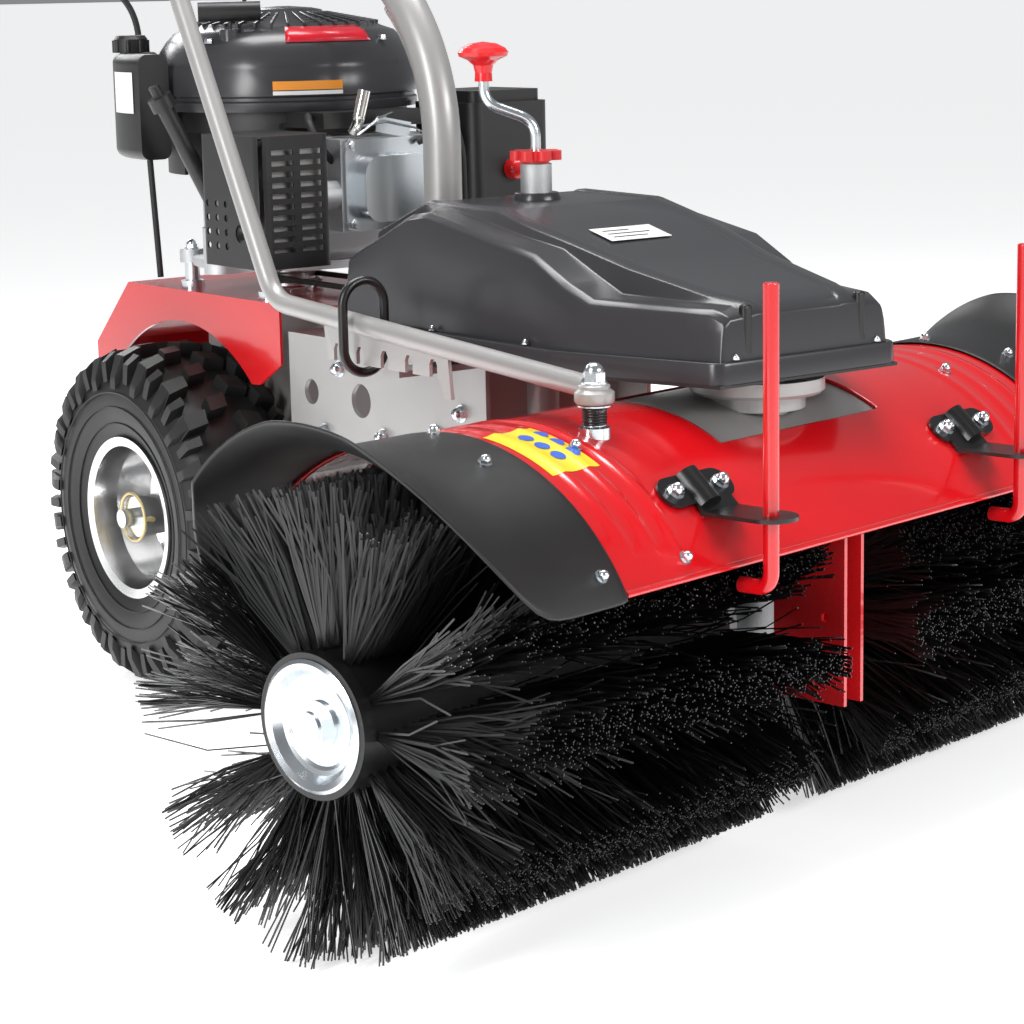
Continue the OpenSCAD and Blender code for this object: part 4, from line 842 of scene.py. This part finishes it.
@dataclass
class Wheels:
    """The two drive wheels: knobbly tyres."""

    axle_y: float = 811.0
    axle_z: float = 186.0
    track: float = 242.0
    radius: float = 186.0
    width: float = 138.0
    bead: float = 91.5
    pitch: int = 22

    def carcass(self, stock: Stock, middle: float) -> None:
        """Turns the tyre's casing.

        Args:
            stock: Takes the surfaces.
            middle: The tyre's middle, along X.
        """
        half = self.width / 2
        side = [(self.bead - 9, 54), (self.bead - 2, 57.5), (self.bead + 6, 60), (self.bead + 22, 66),
                (self.bead + 42, 66.5), (self.bead + 56, 63.5), (self.bead + 68, 56), (self.bead + 75, 46),
                (self.bead + 79.5, 30), (self.bead + 80.5, 0)]
        profile = [(r, -min(h, half)) for r, h in side] + [(r, min(h, half)) for r, h in reversed(side[:-1])]
        stock.lathe(profile, (middle, self.axle_y, self.axle_z), (1, 0, 0), 120, closed=True)

    def lug(self, stock: Stock, middle: float, spin: float, outline: list[tuple[float, float]],
            tall: list[float], deep: list[float]) -> None:
        """Adds one tread lug.

        Args:
            stock: Takes the surfaces.
            middle: The tyre's middle, along X.
            spin: Its place round the wheel, in radians.
            outline: Corners as (length round the tread, offset along the axle).
            tall: Outer radius of each corner.
            deep: Foot radius of each corner.
        """
        rows = []
        for radii, shrink in ((deep, 1.0), ([0.35 * d + 0.65 * t for d, t in zip(deep, tall)], 0.97), (tall, 0.88)):
            cx = sum(p[1] for p in outline) / len(outline)
            cs = sum(p[0] for p in outline) / len(outline)
            row = []
            for (s, x), r in zip(outline, radii):
                a = spin + (cs + (s - cs) * shrink) / self.radius
                row.append(Vector((middle + cx + (x - cx) * shrink, self.axle_y + r * math.cos(a),
                                   self.axle_z + r * math.sin(a))))
            rows.append(row)
        stock.grid(rows, around=True, caps=True)

    def treads(self, stock: Stock, middle: float) -> None:
        """Adds the tread pattern: staggered centre lugs and shoulder lugs that run down the wall.

        Args:
            stock: Takes the surfaces.
            middle: The tyre's middle, along X.
        """
        top, foot = self.radius, self.radius - 17
        step = 2 * math.pi / self.pitch
        for n in range(self.pitch):
            for side in (-1, 1):
                spin = step * (n + (0.5 if side > 0 else 0.0))
                self.lug(stock, middle, spin, [(-9, side * 2), (13, side * 6), (17, side * 30), (-3, side * 27)],
                         [top, top, top - 0.8, top - 0.8], [foot, foot, foot - 1, foot - 1])
                self.lug(stock, middle, spin + step * 0.42,
                         [(-11, side * 33), (9, side * 36), (11, side * 60), (-12, side * 60)],
                         [top - 1, top - 1, top - 9, top - 9], [foot - 2, foot - 2, foot - 16, foot - 16])
                self.lug(stock, middle, spin + step * 0.42,
                         [(-10, side * 58), (9, side * 58), (6, side * 68.6), (-7, side * 68.6)],
                         [top - 8, top - 8, top - 30, top - 30], [foot - 14, foot - 14, top - 44, top - 44])
                self.lug(stock, middle, spin + step * 0.90,
                         [(-7, side * 50), (6, side * 50), (5, side * 65), (-6, side * 65)],
                         [top - 5, top - 5, top - 15, top - 15], [foot - 8, foot - 8, foot - 20, foot - 20])

    def walls(self, stock: Stock, middle: float) -> None:
        """Adds the moulded rings on the side walls.

        Args:
            stock: Takes the surfaces.
            middle: The tyre's middle, along X.
        """
        for side in (-1, 1):
            for r, x in ((self.bead + 12, 63.2), (self.bead + 30, 67.4), (self.bead + 46, 68.0)):
                ring = [Vector((middle + side * x, self.axle_y + r * math.cos(t), self.axle_z + r * math.sin(t)))
                        for t in (2 * math.pi * k / 90 for k in range(90))]
                stock.tube(ring, 0.9, 6, loop=True)

    def build(self, shop: Workshop) -> None:
        """Makes both tyres.

        Args:
            shop: Seats them.
        """
        for side, name in ((-1, "left"), (1, "right")):
            middle = side * self.track / 2
            stock = Stock()
            self.carcass(stock, middle)
            self.treads(stock, middle)
            self.walls(stock, middle)
            shop.make(stock, f"tyre_{name}", Place.CHASSIS, Body.WHEELS, Surface.TREAD, ("tyres",),
                      sharp=42)


@dataclass
class Engine:
    """The vertical-shaft engine's blower shroud, labels and small fittings."""

    x: float = 0.0
    y: float = 745.0
    radius: float = 140.0
    foot: float = 622.1

    def shroud(self) -> Stock:
        """The glossy shroud: a banded skirt, a rolled shoulder and a ringed crown.

        Returns:
            The surfaces.
        """
        z = self.foot
        profile = [(120, z), (139.4, z), (140, z + 2), (140, z + 9), (137.5, z + 11), (137.5, z + 14), (140, z + 16),
                   (140, z + 40), (138, z + 43), (138, z + 46), (136.5, z + 50), (133, z + 60), (126, z + 70),
                   (117, z + 79.5), (110, z + 82), (104, z + 84)]
        for k in range(5):
            r = 100 - 11 * k
            profile += [(r, z + 86 + 2.4 * k), (r - 5, z + 89 + 2.4 * k), (r - 6.5, z + 86.5 + 2.4 * k)]
        profile += [(44, z + 98), (40, z + 102), (30, z + 104), (6, z + 106)]
        stock = Stock()
        stock.lathe(profile, (self.x, self.y, 0), (0, 0, 1), 144)
        return stock

    def ribs(self) -> Stock:
        """The radial ribs that cross the crown's rings.

        Returns:
            The surfaces.
        """
        stock = Stock()
        for k in range(36):
            if 8 <= k <= 13:
                continue
            a = math.radians(10 * k)
            turn = Matrix.Rotation(a, 3, "Z") @ Matrix.Rotation(math.radians(11), 3, "Y")
            middle = Vector((73 * math.cos(a), 73 * math.sin(a), self.foot + 91))
            stock.block(tuple(middle + Vector((self.x, self.y, 0))), (56, 2.6, 8), turn)
        return stock

    def wrap(self, a0: float, a1: float, z0: float, z1: float, radius: float) -> Stock:
        """A band or sticker wrapped round the shroud.

        Args:
            a0: Its first angle, in degrees.
            a1: Its last angle.
            z0: Its foot.
            z1: Its head.
            radius: The radius it lies on.

        Returns:
            The surfaces.
        """
        stock = Stock()
        rows = []
        for k in range(25):
            a = math.radians(a0 + (a1 - a0) * k / 24)
            rows.append([Vector((self.x + radius * math.cos(a), self.y + radius * math.sin(a), z))
                         for z in (z0, (z0 + z1) / 2, z1)])
        stock.grid(rows, around=False)
        return stock

    def labels(self, shop: Workshop) -> None:
        """Generic stickers: an orange band, a plain red badge, a white tank label.

        Args:
            shop: Seats them.
        """
        z = self.foot
        shop.make(self.wrap(232, 262, z + 22, z + 31, 140.5), "shroud_band", Place.CHASSIS, Body.CHASSIS,
                  Surface.LABEL_ORANGE)
        shop.make(self.wrap(232, 262, z + 17, z + 21, 140.5), "shroud_band_foot", Place.CHASSIS, Body.CHASSIS,
                  Surface.PAPER_WHITE)
        badge = Stock()
        rows = []
        for k in range(17):
            a = math.radians(238 + 44 * k / 16)
            rows.append([Vector((self.x + r * math.cos(a), self.y + r * math.sin(a), h))
                         for r, h in ((104, z + 85.2), (112, z + 82.6), (118.5, z + 80), (127, z + 70.2))])
        badge.grid(rows, around=False)
        shop.make(badge, "shroud_badge", Place.CHASSIS, Body.CHASSIS, Surface.LABEL_RED, thick=0.8)
        tank = self.wrap(160, 178, 622, 664, 183.7)
        shop.make(tank, "tank_label", Place.CHASSIS, Body.CHASSIS, Surface.PAPER_WHITE)

    def fittings(self, shop: Workshop) -> None:
        """Screws, pipes and a governor link that dress the engine's front.

        Args:
            shop: Seats them.
        """
        bolts = Stock()
        for x, z in ((-58, 512), (-58, 590), (38, 512), (38, 590)):
            bolts.lathe([(0, 6), (4.6, 5.4), (5.4, 4), (5.4, 0), (8, 0), (8, -1.2), (0, -1.2)],
                        (x, self.y - 208.3, z), (0, -1, 0), 6)
        for k in range(4):
            a = math.radians(20 + 90 * k)
            bolts.lathe([(0, 5), (4, 5), (4.5, 3.5), (4.5, 0), (0, 0)],
                        (self.x + 128 * math.cos(a), self.y + 128 * math.sin(a), self.foot + 70), (0, 0, 1), 6)
        shop.make(bolts, "engine_screws", Place.CHASSIS, Body.CHASSIS, Surface.ZINC, sharp=25)
        pipes = Stock()
        pipes.tube(fillet([(-66, self.y - 186, 574), (-84, self.y - 190, 590), (-86, self.y - 176, 612),
                           (-70, self.y - 150, 618)], 14), 4.0, 12)
        pipes.tube(fillet([(20, self.y - 214, 590), (46, self.y - 222, 600), (60, self.y - 200, 606),
                           (72, self.y - 176, 596)], 12), 3.4, 12)
        shop.make(pipes, "engine_hoses", Place.CHASSIS, Body.CHASSIS, Surface.RUBBER)
        links = Stock()
        links.tube(fillet([(-40, self.y - 200, 608), (-12, self.y - 206, 612), (24, self.y - 204, 604),
                           (66, self.y - 184, 590)], 10), 1.3, 8)
        links.tube(fillet([(-50, self.y - 210, 600), (-28, self.y - 214, 616), (0, self.y - 198, 620)], 8), 1.3, 8)
        links.block((-2, self.y - 202, 606), (42, 2.2, 16), Matrix.Rotation(0.2, 3, "Y"))
        shop.make(links, "governor_links", Place.CHASSIS, Body.CHASSIS, Surface.ZINC)

    def build(self, shop: Workshop) -> None:
        """Makes the engine's visible dressings.

        Args:
            shop: Seats them.
        """
        shop.make(self.shroud(), "shroud_crown", Place.CHASSIS, Body.CHASSIS, Surface.BLACK_GLOSS,
                  ("shroud_top",), sharp=50)
        shop.make(self.ribs(), "shroud_ribs", Place.CHASSIS, Body.CHASSIS, Surface.BLACK_GLOSS,
                  bevel=0.6)
        tower = Stock()
        tower.lathe([(3, 84), (11, 84), (11, 8), (14, 2), (14, 0), (3, 0)], (self.x - 100, self.y - 54, self.foot),
                    (0, 0, 1), 32)
        shop.make(tower, "rope_tower", Place.CHASSIS, Body.CHASSIS, Surface.BLACK_GLOSS, bevel=0.8)
        self.labels(shop)
        self.fittings(shop)


@dataclass
class TubeWork:
    """The bent tubes and rods, drawn as smooth sweeps, and the coil spring."""

    column_y: float = 461.0
    column_bend: float = 200.0
    column_turn: float = 50.0
    bar_y: float = 840.0
    grip_x: float = 280.0
    grip_end: float = 1180.0
    grip_z: float = 1010.0
    rod_x: float = -216.775
    rod_y: float = -43.3
    rod_eye: float = 423.0

    def column_route(self) -> list[Vector]:
        """The steering column's middle line."""
        turn = math.radians(self.column_turn)
        route = [Vector((0, self.column_y, z)) for z in (401.2, 470, 540)]
        for k in range(17):
            t = turn * k / 16
            route.append(Vector((0, self.column_y + self.column_bend * (1 - math.cos(t)),
                                 590 + self.column_bend * math.sin(t))))
        end_y = self.bar_y - 10
        last = route[-1]
        route.append(last + Vector((0, end_y - last.y, (end_y - last.y) / math.tan(turn))))
        return route

    def bar_z(self) -> float:
        """Height of the handlebar's cross piece."""
        turn = math.radians(self.column_turn)
        run = (self.bar_y - self.column_y) / math.sin(turn)
        return 590 + self.column_bend * math.tan(turn / 2) + run * math.cos(turn)

    def column(self, shop: Workshop) -> None:
        """The column and its riveted seam strip.

        Args:
            shop: Seats them.
        """
        route = self.column_route()
        stock = Stock()
        stock.tube(route, 19.0, 40)
        stock.lathe([(19.4, 8), (21.8, 5), (22.6, 0), (19.4, 0)], (0, self.column_y, 401.2), (0, 0, 1), 48)
        shop.make(stock, "column_tube", Place.CHASSIS, Body.CHASSIS, Surface.GREY_ENAMEL,
                  ("handle_column",))
        strip, rivets = Stock(), Stock()
        rows, turn = [], math.radians(self.column_turn)
        line = [(Vector((0, self.column_y, z)), 0.0) for z in (445, 480, 520, 560, 590)]
        line += [(Vector((0, self.column_y + self.column_bend * (1 - math.cos(turn * k / 12)),
                          590 + self.column_bend * math.sin(turn * k / 12))), turn * k / 12) for k in range(1, 13)]
        for point, t in line:
            out = Vector((0, math.cos(t), -math.sin(t)))
            rows.append([point + out * 18 + Vector((-1.5, 0, 0)), point + out * 30 + Vector((-1.5, 0, 0)),
                         point + out * 30 + Vector((1.5, 0, 0)), point + out * 18 + Vector((1.5, 0, 0))])
        strip.grid(rows)
        shop.make(strip, "column_strip", Place.CHASSIS, Body.CHASSIS, Surface.GREY_ENAMEL, bevel=0.5)
        for point, t in line[1:]:
            spot = point + Vector((0, math.cos(t), -math.sin(t))) * 25
            for side in (-1, 1):
                rivets.lathe([(0, 2.2), (2.4, 1.6), (3.2, 0), (0, 0)], tuple(spot + Vector((side * 1.5, 0, 0))),
                             (side, 0, 0), 16)
        shop.make(rivets, "column_rivets", Place.CHASSIS, Body.CHASSIS, Surface.GREY_ENAMEL)

    def handlebar(self, shop: Workshop) -> None:
        """The handlebar and its moulded grips.

        Args:
            shop: Seats them.
        """
        z = self.bar_z()
        corners = [(-self.grip_x, self.grip_end, self.grip_z), (-self.grip_x, self.bar_y, z),
                   (self.grip_x, self.bar_y, z), (self.grip_x, self.grip_end, self.grip_z)]
        stock = Stock()
        stock.tube(fillet(corners, 70, 12), 12.5, 28)
        shop.make(stock, "handlebar_tube", Place.CHASSIS, Body.CHASSIS, Surface.GREY_ENAMEL,
                  ("handlebar",))
        grip = Stock()
        along = Vector((0, self.grip_end - self.bar_y, self.grip_z - z)).normalized()
        for side in (-1, 1):
            start = Vector((side * self.grip_x, 1062, z + (1062 - self.bar_y) * along.z / along.y))
            profile = [(12.6, 0), (19.5, 0), (19.8, 2), (19, 4), (15.5, 6)]
            for k in range(24):
                h = 9 + 4.6 * k
                profile += [(15.2, h), (16.4, h + 1.2), (16.4, h + 2.8), (15.2, h + 4.0)]
            profile += [(16.2, 122), (14.5, 124), (0.01, 124.4)]
            grip.lathe(profile, tuple(start), tuple(along), 36)
        shop.make(grip, "ribbed_grips", Place.CHASSIS, Body.CHASSIS, Surface.RUBBER, ("grips",), sharp=30)

    def rod(self, shop: Workshop) -> None:
        """The adjusting rod with its notched bar and its eye.

        Args:
            shop: Seats them.
        """
        slope = 0.067
        knee_z = self.rod_eye + slope * (436 - self.rod_y)
        corners = [(self.rod_x, self.rod_y + 8, self.rod_eye + slope * 8), (self.rod_x, 436, knee_z),
                   (self.rod_x, 641, 830), (self.rod_x, 1000, 900)]
        stock = Stock()
        stock.tube(fillet(corners, 42, 12), 9.5, 28)
        stock.lathe([(7, -12), (15, -12), (16.5, -10), (16.5, -3), (13, 0), (13, 2.5), (11, 4), (7, 4)],
                    (self.rod_x, self.rod_y, self.rod_eye), (0, 0, 1), 40, closed=True)
        shop.make(stock, "rod_tube", Place.CHASSIS, Body.ROD, Surface.GREY_ENAMEL, ("rod",))
        bar, low = Stock(), 409.1
        outline: list[tuple[float, float]] = [(157, self.rod_eye + slope * (157 - self.rod_y)), (152, 392), (162, 392)]
        outline += [(170, low)]
        eye = [221 * math.sin(math.radians(a)) for a in (-20, -10, 0, 10, 20)]
        ys = sorted(292 - 221 * math.sin(math.radians(10)) + e for e in eye)
        for y in ys:
            outline += [(y - 5.7, low), (y - 5.7, low + 11), (y - 3, low + 16), (y + 3, low + 16),
                        (y + 5.7, low + 11), (y + 5.7, low)]
        outline += [(346, low), (352, self.rod_eye + slope * (352 - self.rod_y))]
        rows = [[Vector((self.rod_x + w, y, z)) for y, z in outline] for w in (-2.0, 2.0)]
        bar.grid(rows)
        shop.make(bar, "notched_bar", Place.CHASSIS, Body.ROD, Surface.GREY_ENAMEL, bevel=0.5)

    def loop(self, shop: Workshop) -> None:
        """The black wire loop that the rod passes through.

        Args:
            shop: Seats it.
        """
        x, y, low, high, r = self.rod_x + 3.3, 292.0, 401.7, 485.5, 22.5
        route = []
        for k in range(33):
            t = math.pi * k / 32
            route.append(Vector((x + r * math.cos(t), y, high - r + r * math.sin(t))))
        for k in range(33):
            t = math.pi + math.pi * k / 32
            route.append(Vector((x + r * math.cos(t), y, low + r + r * math.sin(t))))
        stock = Stock()
        stock.tube(route, 4.5, 20, loop=True)
        shop.make(stock, "rod_wire_loop", Place.CHASSIS, Body.CHASSIS, Surface.BLACK_POWDER,
                  ("guide_loop",))

    def pegs(self, shop: Workshop) -> None:
        """The two upright red pegs, bent back under the hood's lip.

        Args:
            shop: Seats them.
        """
        stock = Stock()
        for x in (-182, 182):
            stock.tube(fillet([(x, -154, 513), (x, -154, 271), (x, -124, 270.5)], 17, 10), 6.5, 28)
            stock.lathe([(6.5, -1), (6.1, 0.4), (5.0, 1.0), (0, 1.0)], (x, -154, 513), (0, 0, 1), 28)
        shop.make(stock, "peg_rods", Place.HEAD, Body.HEAD, Surface.RED_ENAMEL, ("pegs",))

    def crank(self, shop: Workshop) -> None:
        """The bright crank rod with its smooth S bend.

        Args:
            shop: Seats it.
        """
        arm = Vector((-38.4, 28.8, 0))
        foot = Vector((0, 309, 0))
        corners = [foot + Vector((0, 0, 300)), foot + Vector((0, 0, 618)), foot + arm + Vector((0, 0, 636)),
                   foot + arm + Vector((0, 0, 688))]
        stock = Stock()
        stock.tube(fillet([tuple(c) for c in corners], 22, 12), 5.0, 24)
        shop.make(stock, "crank_bent_rod", Place.CHASSIS, Body.CRANK, Surface.ZINC, ("crank_rod",))

    def spring(self, shop: Workshop) -> None:
        """The coil spring on the rod's eye bolt.

        Args:
            shop: Seats it.
        """
        angle = math.radians(-10)
        x = self.rod_x * math.cos(angle) - self.rod_y * math.sin(angle)
        y = self.rod_x * math.sin(angle) + self.rod_y * math.cos(angle)
        foot = 190 + math.sqrt(203.5 ** 2 - (y - 50) ** 2) + 7.2
        head = 407.0
        route = []
        for k in range(6 * 24 + 1):
            t = 2 * math.pi * k / 24
            route.append(Vector((x + 8.6 * math.cos(t), y + 8.6 * math.sin(t), foot + (head - foot) * k / 144)))
        stock = Stock()
        stock.tube(route, 1.7, 10)
        shop.make(stock, "rod_coil_spring", Place.HEAD, Body.HEAD, Surface.BLACK_POWDER)

    def cables(self, shop: Workshop) -> None:
        """The three Bowden cables, held from lever to frame.

        Args:
            shop: Seats them.
        """
        lever_y, lever_z, bar = 1036.0, self.bar_z() - 30, self.bar_z()
        stock = Stock()
        routes = (([(-self.grip_x, lever_y - 16, lever_z - 4), (-268, 985, lever_z - 60), (-258, 950, 785),
                    (-90, 905, 750), (-80, 893, 434)], 3.5),
                  ([(self.grip_x, lever_y - 16, lever_z - 4), (self.grip_x, 950, lever_z - 30), (40, 800, 905),
                    (26, 545, 720), (27, 464, 590), (27, 461, 401.2)], 3.5),
                  ([(186, self.bar_y - 24, bar - 8), (140, self.bar_y - 30, bar - 70), (50, 905, 790),
                    (50, 905, 520)], 2.5))
        for corners, radius in routes:
            stock.tube(fillet(corners, 70, 14), radius, 14)
        shop.make(stock, "bowden_cables", Place.CHASSIS, Body.CHASSIS, Surface.RUBBER, ("control_cables",))

    def build(self, shop: Workshop) -> None:
        """Makes all the tube and rod work.

        Args:
            shop: Seats them.
        """
        for part in (self.column, self.handlebar, self.rod, self.loop, self.pegs, self.crank, self.spring,
                     self.cables):
            part(shop)


def dress(frame: dict) -> None:
    """Gives every CAD node the finish of its record slot, or its special finish.

    Args:
        frame: The loaded frame.
    """
    special = {"muffler": Surface.STEEL, "jockey_wheel": Surface.RUBBER, "drive_belt": Surface.RUBBER,
               "peg_brackets": Surface.BLACK_POWDER, "muffler_guard": Surface.BLACK_GRAINED,
               "spark_plug_boot": Surface.CHROME}
    slots = {part["node"]: part["material_slot"] for part in frame["record"]["subparts"]}
    for name, node in frame["nodes"].items():
        finish = special.get(name, SLOT_FINISH[slots[name]])
        node.data.materials.clear()
        node.data.materials.append(finish.build())


def swivel_axis() -> Vector:
    """Where the head's swivel stands, from the input shaft turned about it.

    Returns:
        The axis on the floor, in metres.
    """
    low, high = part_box("input_shaft")
    return Vector(((low.x + high.x) / 2, (low.y + high.y) / 2, 0.0))


def main() -> None:
    """Builds the looks, in order."""
    logging.basicConfig(level=logging.INFO, format="%(message)s")
    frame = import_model()
    shop = Workshop(swivel_axis())
    Studio().build(shop)
    dress(frame)
    for maker in (Hood(), BeltCover(), TubeWork(), Engine(), Wheels(), Broom()):
        LOG.info("building %s", type(maker).__name__)
        maker.build(shop)


if __name__ == "__main__":
    main()
